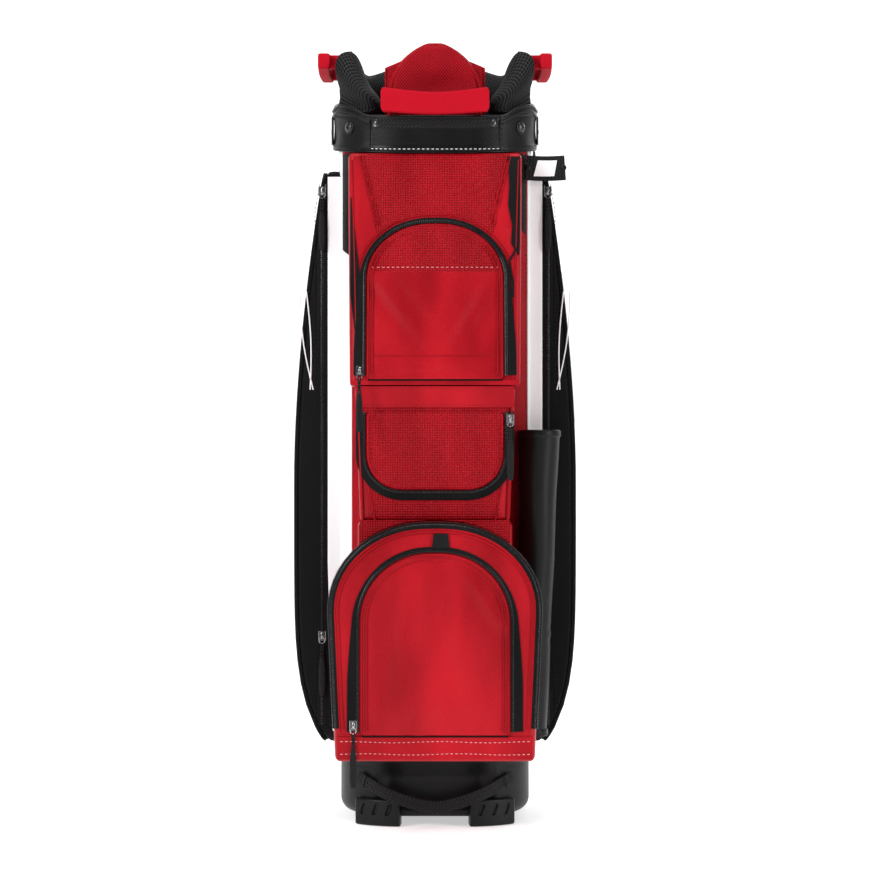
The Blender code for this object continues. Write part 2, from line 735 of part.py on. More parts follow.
def make_upper_pocket(tube):
    """The wedge shaped upper pocket, with a flap that folds down from its arched zip."""
    body = rows(UPPER_HALF_LOW, UPPER_HALF_HIGH, UPPER_BOTTOM, UPPER_TOP)
    hollow = rows(UPPER_HALF_LOW - WALL, UPPER_HALF_HIGH - WALL, UPPER_BOTTOM + WALL, UPPER_TOP - UPPER_TOP_HEM)
    flap = rows(UPPER_FLAP_HALF, UPPER_FLAP_HALF, UPPER_FLAP_BOTTOM, UPPER_FLAP_TOP, high_rise=UPPER_FLAP_RISE)
    opening = rows(
        UPPER_FLAP_HALF - FLAP_LAP,
        UPPER_FLAP_HALF - FLAP_LAP,
        UPPER_FLAP_BOTTOM + FLAP_LAP,
        UPPER_FLAP_TOP - FLAP_LAP,
        high_rise=UPPER_FLAP_RISE - FLAP_LAP,
    )
    make_pouch("upper_pocket_body", body, hollow, opening, BURIED, UPPER_FACE, RED_FABRIC, tube)
    pivot = (0.0, -UPPER_FACE(UPPER_FLAP_BOTTOM) - FLAP_FRONT, UPPER_FLAP_BOTTOM)
    make_flap("upper_pocket_flap", flap, UPPER_FACE, RED_FABRIC, pivot=pivot)


def make_middle_pocket(tube):
    """The middle pocket, with a flap that lifts from its U shaped zip."""
    body = rows(MIDDLE_HALF, MIDDLE_HALF, MIDDLE_BOTTOM, MIDDLE_TOP)
    hollow = rows(MIDDLE_HALF - WALL, MIDDLE_HALF - WALL, MIDDLE_BOTTOM + WALL, MIDDLE_TOP - WALL)
    flap = rows(
        MIDDLE_FLAP_HALF,
        MIDDLE_FLAP_HALF,
        MIDDLE_FLAP_BOTTOM,
        MIDDLE_FLAP_TOP,
        low_round=MIDDLE_FLAP_RISE,
        low_rise=MIDDLE_FLAP_RISE,
    )
    opening = rows(
        MIDDLE_FLAP_HALF - FLAP_LAP,
        MIDDLE_FLAP_HALF - FLAP_LAP,
        MIDDLE_FLAP_BOTTOM + FLAP_LAP,
        MIDDLE_FLAP_TOP - FLAP_LAP,
        low_round=MIDDLE_FLAP_RISE - FLAP_LAP,
        low_rise=MIDDLE_FLAP_RISE - FLAP_LAP,
    )
    make_pouch("middle_pocket_body", body, hollow, opening, BURIED, MIDDLE_FACE, RED_FABRIC, tube)
    pivot = (0.0, -MIDDLE_FACE(MIDDLE_FLAP_TOP) - FLAP_FRONT, MIDDLE_FLAP_TOP)
    make_flap("middle_pocket_flap", flap, MIDDLE_FACE, RED_FABRIC, pivot=pivot)


def ball_outline(inset, half_low, half_high, bottom, top, rise):
    """The arched outline of a ball pocket piece, drawn in by the inset."""
    return rows(half_low - inset, half_high - inset, bottom + inset, top - inset, high_rise=rise - inset)


def make_ball_pocket(tube):
    """The ball pocket: a compartment on the body, one that tips open on it, and its front panel."""
    rear = (BALL_REAR_HALF, BALL_REAR_HALF, BALL_BOTTOM, BALL_TOP, BALL_RISE)
    make_pouch(
        "ball_pocket_body",
        ball_outline(0.0, *rear),
        ball_outline(WALL, *rear),
        ball_outline(WALL + FLAP_LAP, *rear),
        BURIED,
        constant(BALL_REAR_DEPTH),
        BLACK_FABRIC,
        tube,
    )
    back = constant(BALL_REAR_DEPTH + GAP)
    front = (BALL_HALF_LOW, BALL_HALF_HIGH, BALL_BOTTOM, BALL_TOP, BALL_RISE)
    panel = (BALL_PANEL_HALF, BALL_PANEL_HALF, BALL_PANEL_BOTTOM, BALL_PANEL_TOP, BALL_PANEL_RISE)
    make_pouch(
        "ball_pocket_front",
        ball_outline(0.0, *front),
        ball_outline(WALL, *front),
        ball_outline(FLAP_LAP, *panel),
        back,
        BALL_FACE,
        RED_FABRIC,
        pivot=(0.0, -BALL_REAR_DEPTH - GAP, BALL_BOTTOM),
    )
    pivot = (0.0, -BALL_FACE(BALL_PANEL_BOTTOM) - FLAP_FRONT, BALL_PANEL_BOTTOM)
    make_flap("ball_pocket_panel", ball_outline(0.0, *panel), BALL_FACE, RED_FABRIC, pivot=pivot)


def side_depth(z):
    """Depth of a side pocket's body face, fullest below the middle."""
    full = SIDE_DEPTH - FLAP_FRONT
    if z > SIDE_WIDE_Z:
        share = (z - SIDE_WIDE_Z) / (SIDE_TOP - SIDE_WIDE_Z)
        return full - SIDE_FALL_HIGH * share**SIDE_FALL_HIGH_POWER
    share = (SIDE_WIDE_Z - z) / (SIDE_WIDE_Z - SIDE_BOTTOM)
    return full - SIDE_FALL_LOW * share**SIDE_FALL_LOW_POWER


def side_outline(inset, rounding):
    """The outline of a side pocket piece, drawn in by the inset."""
    half = SIDE_HALF - inset
    bottom, top = SIDE_BOTTOM + inset, SIDE_TOP - inset
    return rows(half, half, bottom, top, rounding, rounding, rounding, rounding, middle=10)


def make_side_pockets(tube):
    """The tall pockets on the sides, each with a panel that swings out from its rear edge."""
    for name, facing, side in (("left", LEFT, -1), ("right", RIGHT, 1)):
        where = {"facing": facing, "centre": (0.0, SIDE_Y)}
        make_pouch(
            f"{name}_pocket_body",
            side_outline(0.0, SIDE_ROUNDING),
            side_outline(WALL, SIDE_ROUNDING - WALL),
            side_outline(2 * WALL + FLAP_LAP, SIDE_ROUNDING - WALL - FLAP_LAP),
            constant(TUBE_HALF_WIDTH - TUBE_CORNER),
            side_depth,
            BLACK_FABRIC,
            tube,
            **where,
        )
        pivot = (side * SIDE_DEPTH, SIDE_Y + SIDE_HALF - SIDE_FLAP_INSET, SIDE_WIDE_Z)
        outline = side_outline(SIDE_FLAP_INSET, SIDE_ROUNDING)
        make_flap(f"{name}_pocket_panel", outline, side_depth, BLACK_FABRIC, pivot=pivot, **where)


def circle(centre_x, centre_y, radius, z):
    """A level ring of points."""
    points = []
    for step in range(SLEEVE_SIDES):
        angle = math.radians(360) * step / SLEEVE_SIDES
        points.append((centre_x + radius * math.cos(angle), centre_y + radius * math.sin(angle), z))
    return points


def sleeve_ring(z, wall):
    """A ring of the umbrella sleeve, which leans on the tube's front right corner."""
    share = (z - SLEEVE_BOTTOM) / (SLEEVE_TOP - SLEEVE_BOTTOM)
    radius = between(SLEEVE_BOTTOM_RADIUS, SLEEVE_TOP_RADIUS, share)
    reach = TUBE_CORNER + radius - SLEEVE_SINK
    x = TUBE_HALF_WIDTH - TUBE_CORNER + reach * math.cos(SLEEVE_TURN)
    y = TUBE_Y - TUBE_HALF_DEPTH + TUBE_CORNER - reach * math.sin(SLEEVE_TURN)
    return circle(x, y, radius - wall, z)


def make_sleeve(tube):
    """The umbrella sleeve, a tapered tube with a floor."""
    outside = [sleeve_ring(z, 0.0) for z in (SLEEVE_BOTTOM, SLEEVE_TOP)]
    sleeve = section_solid("umbrella_sleeve", outside, finish=BLACK_VINYL)
    inside = [sleeve_ring(z, SLEEVE_WALL) for z in (SLEEVE_BOTTOM + SLEEVE_WALL, SLEEVE_TOP + CUT_PAST)]
    cut(sleeve, tube)
    cut(sleeve, section_solid("sleeve_hollow", inside))
    shade_round(sleeve)


def make_small_parts():
    """The umbrella strap and the towel ring under the collar."""
    half = STRAP_THICK / 2
    start = tube_half_width(STRAP_Y + half, 0.0) + STRAP_STAND_OFF
    low = (start, STRAP_Y - half, STRAP_BOTTOM)
    high = (start + STRAP_LENGTH, STRAP_Y + half, STRAP_BOTTOM + STRAP_HEIGHT)
    pivot = (start, STRAP_Y, STRAP_BOTTOM)
    box_solid("umbrella_strap", low, high, finish=BLACK_FABRIC, pivot=pivot)
    ring_x = tube_half_width(RING_Y, 0.0) + RING_STAND_OFF
    around, across = 16, 6
    points = []
    for turn in range(around):
        angle = math.radians(360) * turn / around
        for step in range(across):
            lean = math.radians(360) * step / across
            reach = RING_RADIUS + RING_WIRE * math.cos(lean)
            y = RING_Y + reach * math.cos(angle)
            z = RING_Z + reach * math.sin(angle)
            points.append((ring_x + RING_WIRE * math.sin(lean), y, z))
    faces = []
    for turn in range(around):
        first, second = turn * across, (turn + 1) % around * across
        for step in range(across):
            after = (step + 1) % across
            faces.append([first + step, second + step, second + after, first + after])
    ring = solid("towel_ring", points, faces, BLACK_METAL, pivot=(ring_x, RING_Y, RING_Z + RING_RADIUS))
    shade_round(ring)


def make_zip(name, x, y, z, lean, pull_lean=0.0):
    """A slider on a zip, leaning with its pocket's face, and the pull that hangs in front of it."""
    half = SLIDER_WIDTH / 2
    front = y - GAP - SLIDER_THICK
    low = (x - half, front, z - SLIDER_HEIGHT / 2)
    high = (x + half, y - GAP, z + SLIDER_HEIGHT / 2)
    slider = box_solid(f"{name}_zip_slider", low, high, finish=BLACK_METAL, pivot=(x, y - GAP, z))
    slider.rotation_euler.x = lean
    half = PULL_WIDTH / 2
    near = front - GAP - SLIDER_HEIGHT / 2 * abs(math.sin(lean))
    low = (x - half, near - PULL_THICK, z - PULL_LENGTH)
    high = (x + half, near, z)
    pivot = (x, near - PULL_THICK / 2, z - PULL_THICK / 2)
    pull = box_solid(f"{name}_zip_pull", low, high, finish=BLACK_RUBBER, pivot=pivot)
    pull.rotation_euler.x = pull_lean
    soften(pull, PULL_THICK / 4)


def make_zips():
    """The zip sliders and pulls of every pocket."""
    upper_x = UPPER_FLAP_HALF + FRONT_ZIP_GAP + SLIDER_WIDTH / 2
    ball_x = BALL_PANEL_HALF + FRONT_ZIP_GAP + SLIDER_WIDTH / 2
    upper_lean = lean_of(UPPER_FACE)
    middle_x = MIDDLE_FLAP_HALF + FRONT_ZIP_GAP + SLIDER_WIDTH / 2
    make_zip("upper_pocket", -upper_x, -UPPER_FACE(UPPER_ZIP_Z), UPPER_ZIP_Z, upper_lean, upper_lean)
    make_zip("middle_pocket", middle_x, -MIDDLE_FACE(MIDDLE_ZIP_Z), MIDDLE_ZIP_Z, lean_of(MIDDLE_FACE))
    make_zip("ball_pocket", -ball_x, -BALL_FACE(BALL_ZIP_Z), BALL_ZIP_Z, lean_of(BALL_FACE))
    side_x = TUBE_HALF_WIDTH + SIDE_ZIP_REACH
    side_y = SIDE_Y - SIDE_HALF
    make_zip("left_pocket_top", -side_x, side_y, SIDE_ZIP_HIGH_Z, 0.0)
    make_zip("left_pocket_low", -side_x, side_y, SIDE_ZIP_LOW_Z, 0.0)
    make_zip("right_pocket_top", side_x, side_y, SIDE_ZIP_HIGH_Z, 0.0)


def lean_of(face):
    """The angle by which a sloped face leans back."""
    return math.atan2(face(1.0) - face(0.0), 1.0)


def shoulder_y(z):
    """The middle of the shoulder strap, which bows out from the back between its ends."""
    share = (SHOULDER_TOP - z) / (SHOULDER_TOP - SHOULDER_BOTTOM)
    end = TUBE_Y + TUBE_HALF_DEPTH + SHOULDER_STAND_OFF
    return end + SHOULDER_BOW * math.sin(math.pi * share)


def upright_band(name, bottom, top, half_width, inner, outer, finish):
    """A band up the back, between two distances behind the middle of the shoulder strap."""
    sections = []
    for step in range(SHOULDER_STEPS + 1):
        z = between(bottom, top, step / SHOULDER_STEPS)
        near, far = shoulder_y(z) + inner, shoulder_y(z) + outer
        sections.append([(-half_width, near, z), (half_width, near, z), (half_width, far, z), (-half_width, far, z)])
    pivot = (0.0, shoulder_y(SHOULDER_TOP), (SHOULDER_TOP + SHOULDER_BOTTOM) / 2)
    section_solid(name, sections, finish=finish, pivot=pivot)


def make_shoulder_strap():
    """The shoulder strap, its pad, and the two anchors that it swings between."""
    half = SHOULDER_THICK / 2
    upright_band("shoulder_strap", SHOULDER_BOTTOM, SHOULDER_TOP, SHOULDER_HALF_WIDTH, -half, half, BLACK_FABRIC)
    inner = half + GAP
    upright_band("shoulder_pad", PAD_BOTTOM, PAD_TOP, PAD_HALF_WIDTH, inner, inner + PAD_THICK, BLACK_MESH)
    back = TUBE_Y + TUBE_HALF_DEPTH + GAP
    front = shoulder_y(SHOULDER_TOP) + half
    for name, bottom in (("upper", SHOULDER_TOP + GAP), ("lower", SHOULDER_BOTTOM - GAP - ANCHOR_HEIGHT)):
        low = (-ANCHOR_HALF_WIDTH, back, bottom)
        high = (ANCHOR_HALF_WIDTH, front, bottom + ANCHOR_HEIGHT)
        box_solid(f"{name}_strap_anchor", low, high, finish=BLACK_PLASTIC)


def main():
    """Build the whole bag."""
    clear_scene()
    tube = tube_cutter("tube_guide", GAP)
    make_body()
    make_rim()
    make_handles()
    make_dividers()
    make_base()
    make_grab_handle()
    make_upper_pocket(tube)
    make_middle_pocket(tube)
    make_ball_pocket(tube)
    make_side_pockets(tube)
    make_sleeve(tube)
    make_small_parts()
    make_zips()
    make_shoulder_strap()


main()
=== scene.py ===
"""Looks of a golf cart bag: sewn panels, pockets, zips and pads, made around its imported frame.

Units are metres, +Z is up and the pockets face -Y. A place on the bag's tube is counted from the
middle of the front towards +X, thirty-two places to a turn. A depth is a distance out along -Y.
"""

import math

import bpy
import numpy as np
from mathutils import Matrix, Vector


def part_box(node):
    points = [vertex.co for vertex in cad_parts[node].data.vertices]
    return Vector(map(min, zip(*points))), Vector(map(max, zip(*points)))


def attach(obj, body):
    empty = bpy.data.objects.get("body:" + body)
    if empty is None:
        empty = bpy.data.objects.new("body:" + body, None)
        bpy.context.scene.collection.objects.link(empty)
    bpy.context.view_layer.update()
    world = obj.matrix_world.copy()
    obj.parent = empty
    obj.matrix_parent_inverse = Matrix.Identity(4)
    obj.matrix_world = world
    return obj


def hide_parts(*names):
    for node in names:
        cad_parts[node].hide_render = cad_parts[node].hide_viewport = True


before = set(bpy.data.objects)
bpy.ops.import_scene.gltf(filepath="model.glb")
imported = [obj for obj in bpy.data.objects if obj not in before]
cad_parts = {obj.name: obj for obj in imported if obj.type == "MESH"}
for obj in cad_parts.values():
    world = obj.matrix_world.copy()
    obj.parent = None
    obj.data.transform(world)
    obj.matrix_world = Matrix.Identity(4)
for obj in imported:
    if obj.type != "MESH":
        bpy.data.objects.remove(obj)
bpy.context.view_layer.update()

bl_info = {
    "name": "Golf cart bag",
    "version": (1, 0, 0),
    "blender": (4, 5, 0),
    "location": "3D View > Sidebar > Cart bag",
    "description": "Makes the sewn and moulded pieces of a golf cart bag",
    "category": "Add Mesh",
}

# Tube of the bag
TUBE_HALF = 0.114
TUBE_CORNER = 0.080
TUBE_FLAT = TUBE_HALF - TUBE_CORNER
TUBE_Y = 0.030
ROUND = 32
PLACE_ARC = 0.0209
RIM_START, RIM_STOP = 2.8, 29.2
FRONT_REACH = 2.75
SEAM_PLACES = (-5.5, 5.5, 11.0, 21.0, 26.5)
SKIN = 0.003
GAP = 0.0003

# Pockets, as in the frame
UPPER = {"half_low": 0.096, "half_high": 0.099, "bottom": 0.5058, "top": 0.7735}
UPPER_FLAP = {"half_low": 0.077, "half_high": 0.077, "bottom": 0.5125, "top": 0.690, "high": (0.0716, 0.062)}
MIDDLE = {"half_low": 0.090, "half_high": 0.090, "bottom": 0.3520, "top": 0.5055}
MIDDLE_FLAP = {"half_low": 0.077, "half_high": 0.077, "bottom": 0.389, "top": 0.476, "low": (0.040, 0.040)}
BALL_REAR = {"half_low": 0.088, "half_high": 0.088, "bottom": 0.0855, "top": 0.351, "high": (0.082, 0.100)}
BALL = {"half_low": 0.111, "half_high": 0.123, "bottom": 0.0855, "top": 0.351, "high": (0.1144, 0.100)}
BALL_PANEL = {"half_low": 0.083, "half_high": 0.083, "bottom": 0.1145, "top": 0.317, "high": (0.0772, 0.075)}
SIDE_HALF = 0.070
SIDE = {"half_low": SIDE_HALF, "half_high": SIDE_HALF, "bottom": 0.090, "top": 0.760, "low": (0.02, 0.02),
        "high": (0.02, 0.02)}
SIDE_Y = 0.040
SMALL_CORNER = (0.005, 0.005)
CORNER_STEPS = 14
SIDE_STEPS = 26
SLEEVE_SQUASH = 0.84
EDGE_STEPS = 24
FLAP_THICK = 0.0032
CORD_SIDES = 8
ZIP_GAP = 0.0012
ZIP_TEETH = 0.0034


# ---------------------------------------------------------------- settings


def colour(name, value, text):
    """A colour setting."""
    return bpy.props.FloatVectorProperty(
        name=name, description=text, subtype="COLOR", size=3, default=value, min=0.0, max=1.0)


def length(name, value, text):
    """A length setting, in metres."""
    return bpy.props.FloatProperty(name=name, description=text, default=value, min=0.0, unit="LENGTH", precision=4)


class BagColours(bpy.types.PropertyGroup):
    """Colours of the bag's materials."""

    red: colour("Red", (0.40, 0.0022, 0.0095), "Coated fabric of the pockets and body")
    # Deep red is painted shade: the red fabric's colour in its folds and hollows.
    fold_shade_red: colour("Deep red", (0.215, 0.0014, 0.005), "Hollows and folds of the red fabric")
    moulded_red: colour("Moulded red", (0.47, 0.0070, 0.018), "Lift handles")
    black: colour("Black", (0.0022, 0.0022, 0.0024), "Fabric, vinyl and moulded parts")
    # Charcoal is the lighter end of the black mixes, and not wear: painted sheen and fold highlights on the black
    # fabric and vinyl, and an uneven lighter tone on the moulded and woven parts.
    charcoal_and_sheen: colour("Charcoal", (0.0085, 0.0085, 0.009), "Worn and raised black surfaces")
    white: colour("White", (0.90, 0.90, 0.91), "Side panels and thread")
    grey: colour("Grey", (0.10, 0.10, 0.11), "Lining of the club dividers")
    metal: colour("Metal", (0.22, 0.22, 0.23), "Rivets, sliders and rings")


class BagSizes(bpy.types.PropertyGroup):
    """Sizes of the bag's sewn details."""

    stitch_length: length("Stitch length", 0.0034, "Length of one visible stitch")
    stitch_pitch: length("Stitch pitch", 0.0052, "Distance from one stitch to the next")
    tooth_pitch: length("Tooth pitch", 0.0022, "Distance between the turns of a zip's coil")
    piping: length("Piping", 0.0016, "Radius of the piping in the seams")
    fold_depth: length("Fold depth", 0.0020, "Depth of the soft folds in the panels")
    puff: length("Puff", 0.0020, "How far padded panels crown outwards")


def colours():
    """The colour settings."""
    return bpy.context.scene.bag_colours


def sizes():
    """The size settings."""
    return bpy.context.scene.bag_sizes


# ---------------------------------------------------------------- shader nodes


class Value:
    """A number socket whose arithmetic adds Math nodes."""

    def __init__(self, finish, socket):
        self.finish = finish
        self.socket = socket

    def math(self, operation, *others):
        """The result of one Math node on this value and others."""
        inputs = {number + 1: other for number, other in enumerate(others)}
        return self.finish.node("ShaderNodeMath", {"operation": operation}, {0: self, **inputs})

    def __add__(self, other):
        return self.math("ADD", other)

    def __sub__(self, other):
        return self.math("SUBTRACT", other)

    def __rsub__(self, other):
        return self.math("MULTIPLY_ADD", -1.0, other)

    def __mul__(self, other):
        return self.math("MULTIPLY", other)

    __radd__ = __add__
    __rmul__ = __mul__

    def wave(self):
        """The sine of this value."""
        return self.math("SINE")

    def step(self, low, high):
        """A smooth step from 0 at low to 1 at high."""
        ends = {"From Min": low, "From Max": high}
        return self.finish.node("ShaderNodeMapRange", {"interpolation_type": "SMOOTHSTEP"}, {0: self, **ends})


class Finish:
    """A material under construction, with its own UV map in metres as coordinates."""

    def __init__(self, name, **settings):
        self.material = bpy.data.materials.new(name)
        self.material.use_nodes = True
        self.tree = self.material.node_tree
        self.shader = self.tree.nodes["Principled BSDF"]
        for key, value in settings.items():
            self.shader.inputs[key.replace("_", " ").title().replace("Ior", "IOR")].default_value = value
        place = self.tree.nodes.new("ShaderNodeTexCoord")
        self.place = place.outputs["Object"]
        split = self.tree.nodes.new("ShaderNodeSeparateXYZ")
        self.tree.links.new(place.outputs["UV"], split.inputs[0])
        self.u = Value(self, split.outputs[0])
        self.v = Value(self, split.outputs[1])

    def node(self, kind, settings=None, inputs=None, output=0):
        """Any other node, from its type, settings and the values or links of its sockets."""
        made = self.tree.nodes.new(kind)
        for key, value in (settings or {}).items():
            setattr(made, key, value)
        for key, value in (inputs or {}).items():
            self.join(value, made.inputs[key])
        return Value(self, made.outputs[output])

    def join(self, value, socket):
        """Give a socket its link or its value."""
        if isinstance(value, Value):
            self.tree.links.new(value.socket, socket)
        elif isinstance(value, bpy.types.NodeSocket):
            self.tree.links.new(value, socket)
        else:
            socket.default_value = value

    def noise(self, scale, detail=3.0, roughness=0.55):
        """Noise over the piece, about 0.5."""
        inputs = {"Vector": self.place, "Scale": scale, "Detail": detail, "Roughness": roughness}
        return self.node("ShaderNodeTexNoise", None, inputs)

    def cells(self, scale):
        """Distance to the nearest point of a cell pattern."""
        return self.node("ShaderNodeTexVoronoi", {"feature": "F1"}, {"Vector": self.place, "Scale": scale})

    def hung(self, scale, detail, squash, turn=0.0):
        """Noise drawn out down the piece by a squash of its height, and leaned by a turn."""
        inputs = {"Vector": self.place, "Rotation": (0.0, turn, 0.0), "Scale": (1.0, 1.0, squash)}
        drawn = self.node("ShaderNodeMapping", None, inputs)
        return self.node("ShaderNodeTexNoise", None, {"Vector": drawn, "Scale": scale, "Detail": detail})

    def mix(self, share, first, second):
        """A colour between two colours."""
        sockets = {"Factor": share, 6: (*first, 1.0) if len(first) == 3 else first, 7: (*second, 1.0)}
        return self.node("ShaderNodeMix", {"data_type": "RGBA"}, sockets, 2)

    def done(self, base, roughness=None, height=None, depth=0.0005, strength=1.0):
        """Link the colour, the roughness and the bump height, and give the material."""
        self.join(base, self.shader.inputs["Base Color"])
        if roughness is not None:
            self.join(roughness, self.shader.inputs["Roughness"])
        if height is not None:
            bump = self.node("ShaderNodeBump", None, {"Strength": strength, "Distance": depth, "Height": height})
            self.join(bump, self.shader.inputs["Normal"])
        return self.material


def shaded(tone, by):
    """A colour with each of its numbers multiplied."""
    return tuple(part * by for part in tone)


def fabric(name, low, high, pitch, roughness, depth=0.0002, diamond=False, coat=0.0, shine=0.08):
    """Woven fabric: sine threads each way, or turned a half right angle for a diamond emboss."""
    finish = Finish(name, coat_weight=coat, coat_roughness=0.25, specular_ior_level=shine)
    turn = 2 * math.pi / pitch
    u, v = (finish.u + finish.v, finish.u - finish.v) if diamond else (finish.u, finish.v)
    threads = (u * turn).wave() * (v * turn).wave()
    # The slow noise drawn down the piece mixes the low and high colours as painted fold shade and sheen.
    cloudy = finish.hung(14.0, 2.0, 0.4)
    if diamond:
        # Leaned noise adds painted diagonal sheen streaks over the diamond emboss.
        cloudy = cloudy * 0.4 + finish.hung(30.0, 3.0, 0.16, math.radians(38)) * 0.6
    fine = finish.noise(900.0, 2.0)
    # The diamond threads also lighten and darken the colour, as painted highlight and shade on the emboss.
    share = cloudy * 0.80 + threads * (0.26 if diamond else 0.07) + fine * 0.15
    base = finish.mix(share.step(0.22, 0.80), low, high)
    rough = cloudy * 0.16 + fine * 0.10 + (roughness - 0.13)
    height = threads * 0.5 + fine * 0.7
    return finish.done(base, rough, height, depth)


def leather(name, low, high, scale, roughness, depth=0.0003, coat=0.0, shine=0.12):
    """Grained vinyl: cell edges make the creases between pebbles."""
    finish = Finish(name, coat_weight=coat, coat_roughness=0.42, specular_ior_level=shine)
    pebbles = finish.cells(scale)
    # The wide noise, drawn down and leaned, mixes the low and high colours as painted fold shade and sheen.
    wide = finish.hung(16.0, 2.0, 0.35, 0.35)
    share = (wide * 0.9 + pebbles * 0.12).step(0.20, 0.85)
    base = finish.mix(share, low, high)
    rough = wide * 0.18 + pebbles * 0.12 + (roughness - 0.13)
    return finish.done(base, rough, pebbles * -0.6 + finish.noise(420.0) * 0.5, depth)


def netting(name, low, high, across, along, hole, depth=0.0006, diamond=True):
    """Air mesh: rows of holes with painted shade inside them, set out in a diamond or brick pattern."""
    finish = Finish(name, roughness=0.75, specular_ior_level=0.08)
    turn_u, turn_v = 2 * math.pi / across, 2 * math.pi / along
    if diamond:
        pattern = (finish.u * turn_u).wave() * 0.5 * (finish.v * turn_v).wave() + 0.5
    else:
        pattern = ((finish.u * turn_u).wave() + (finish.v * turn_v).wave()) * 0.25 + 0.5
    open_share = pattern.step(hole, hole + 0.16)
    cloudy = finish.noise(30.0, 3.0)
    threads = finish.noise(700.0, 2.0)
    # The holes take the low colour as painted shade; the threads between them get the lighter colour.
    share = (1 - open_share) * (cloudy * 0.5 + threads * 0.3 + 0.35)
    base = finish.mix(share, low, high)
    height = (1 - open_share) + threads * 0.25
    return finish.done(base, cloudy * 0.2 + 0.62, height, depth)


def moulded(name, low, high, roughness, scale=260.0, depth=0.00006, coat=0.0, metallic=0.0, shine=0.22):
    """Moulded plastic, rubber or metal: a fine spark-eroded grain and slow gloss changes."""
    finish = Finish(name, coat_weight=coat, coat_roughness=0.15, metallic=metallic, specular_ior_level=shine)
    wide = finish.noise(9.0, 3.0)
    grain = finish.noise(scale, 3.0)
    base = finish.mix((wide * 0.7 + grain * 0.3).step(0.3, 0.8), low, high)
    rough = wide * 0.16 + grain * 0.14 + (roughness - 0.15)
    return finish.done(base, rough, grain, depth)


def webbing(name, low, high, pitch=0.0042, depth=0.0006):
    """Woven webbing: chevrons across the strap over fine ribs along it."""
    finish = Finish(name, specular_ior_level=0.2)
    turn = 2 * math.pi / pitch
    zigzag = (finish.v * turn + (finish.u * (turn * 0.9)).wave() * 1.6).wave()
    ribs = (finish.u * (turn * 2.0)).wave()
    threads = zigzag * 0.35 + ribs * 0.15 + 0.5
    base = finish.mix((threads * 0.8 + finish.noise(300.0) * 0.3).step(0.3, 0.9), low, high)
    return finish.done(base, threads * -0.1 + 0.62, threads, depth)


def make_finishes():
    """All the bag's materials, by name."""
    tone = colours()
    red, deep, black = tone.red[:], tone.fold_shade_red[:], tone.black[:]
    char, white = tone.charcoal_and_sheen[:], tone.white[:]
    # A lighter copy of the red, painted as the sheen and highlights on the red fabric, vinyl and mesh; the deep red is
    # the matching painted shade.
    bright = tuple(min(1.0, part * 1.15 + 0.004) for part in red)
    return {
        "red": fabric("red coated fabric", deep, bright, 0.0016, 0.42, coat=0.02),
        "diamond": fabric("diamond embossed red", deep, bright, 0.0056, 0.38, 0.0012, True, 0.03),
        "gloss": leather("glossy red vinyl", deep, bright, 520.0, 0.40, 0.00010, 0.03),
        # In both meshes the first colour is the painted shade inside the holes.
        "red_mesh": netting("red air mesh", (0.09, 0.001, 0.004), bright, 0.0034, 0.0040, 0.60),
        "red_moulded": moulded("moulded red", shaded(tone.moulded_red, 0.85), tone.moulded_red[:], 0.60, shine=0.02),
        "black": fabric("black fabric", black, shaded(char, 0.6), 0.0014, 0.55),
        "vinyl": leather("black vinyl", black, char, 620.0, 0.36, 0.00022, 0.14),
        "grain": leather("grained black vinyl", black, char, 380.0, 0.46, 0.0004, 0.05),
        # The spacer mesh's threads are lightened to four times charcoal, partly as a painted highlight on its ribs.
        "mesh": netting("black spacer mesh", (0.001, 0.001, 0.001), shaded(char, 4.2), 0.0034, 0.0042, 0.46,
                        0.0010, False),
        "white": leather("white vinyl", shaded(white, 0.92), white, 560.0, 0.38, 0.0001, 0.15),
        "thread": moulded("thread", shaded(white, 0.75), white, 0.6, 900.0),
        "pink_thread": moulded("pale thread on red", (0.55, 0.16, 0.17), (0.80, 0.42, 0.42), 0.6, 900.0),
        "red_thread": moulded("red thread", deep, bright, 0.55, 900.0),
        "black_thread": moulded("black thread", black, char, 0.55, 900.0),
        "tape": fabric("zip tape", black, char, 0.0011, 0.48, 0.00015),
        # The coil's lighter grey is a painted highlight along the zip teeth; the rivet heads and snap plates use the
        # same finish.
        "coil": moulded("zip coil", char, shaded(char, 4.0), 0.26, 500.0, coat=0.4),
        "plastic": moulded("moulded black", black, shaded(char, 0.8), 0.42, 320.0, 0.00012),
        "rubber": moulded("rubber", black, char, 0.58, 500.0, 0.0001),
        "metal": moulded("dark metal", (0.05, 0.05, 0.055), tone.metal[:], 0.32, 200.0, metallic=0.9),
        "bright": moulded("plated metal", tone.metal[:], (0.55, 0.55, 0.57), 0.25, 200.0, metallic=1.0),
        "webbing": webbing("black webbing", black, shaded(char, 1.3)),
        "lining": fabric("grey lining", shaded(tone.grey, 0.5), tone.grey[:], 0.0020, 0.80, 0.0002),
    }


FINISHES = {}


# ---------------------------------------------------------------- surfaces


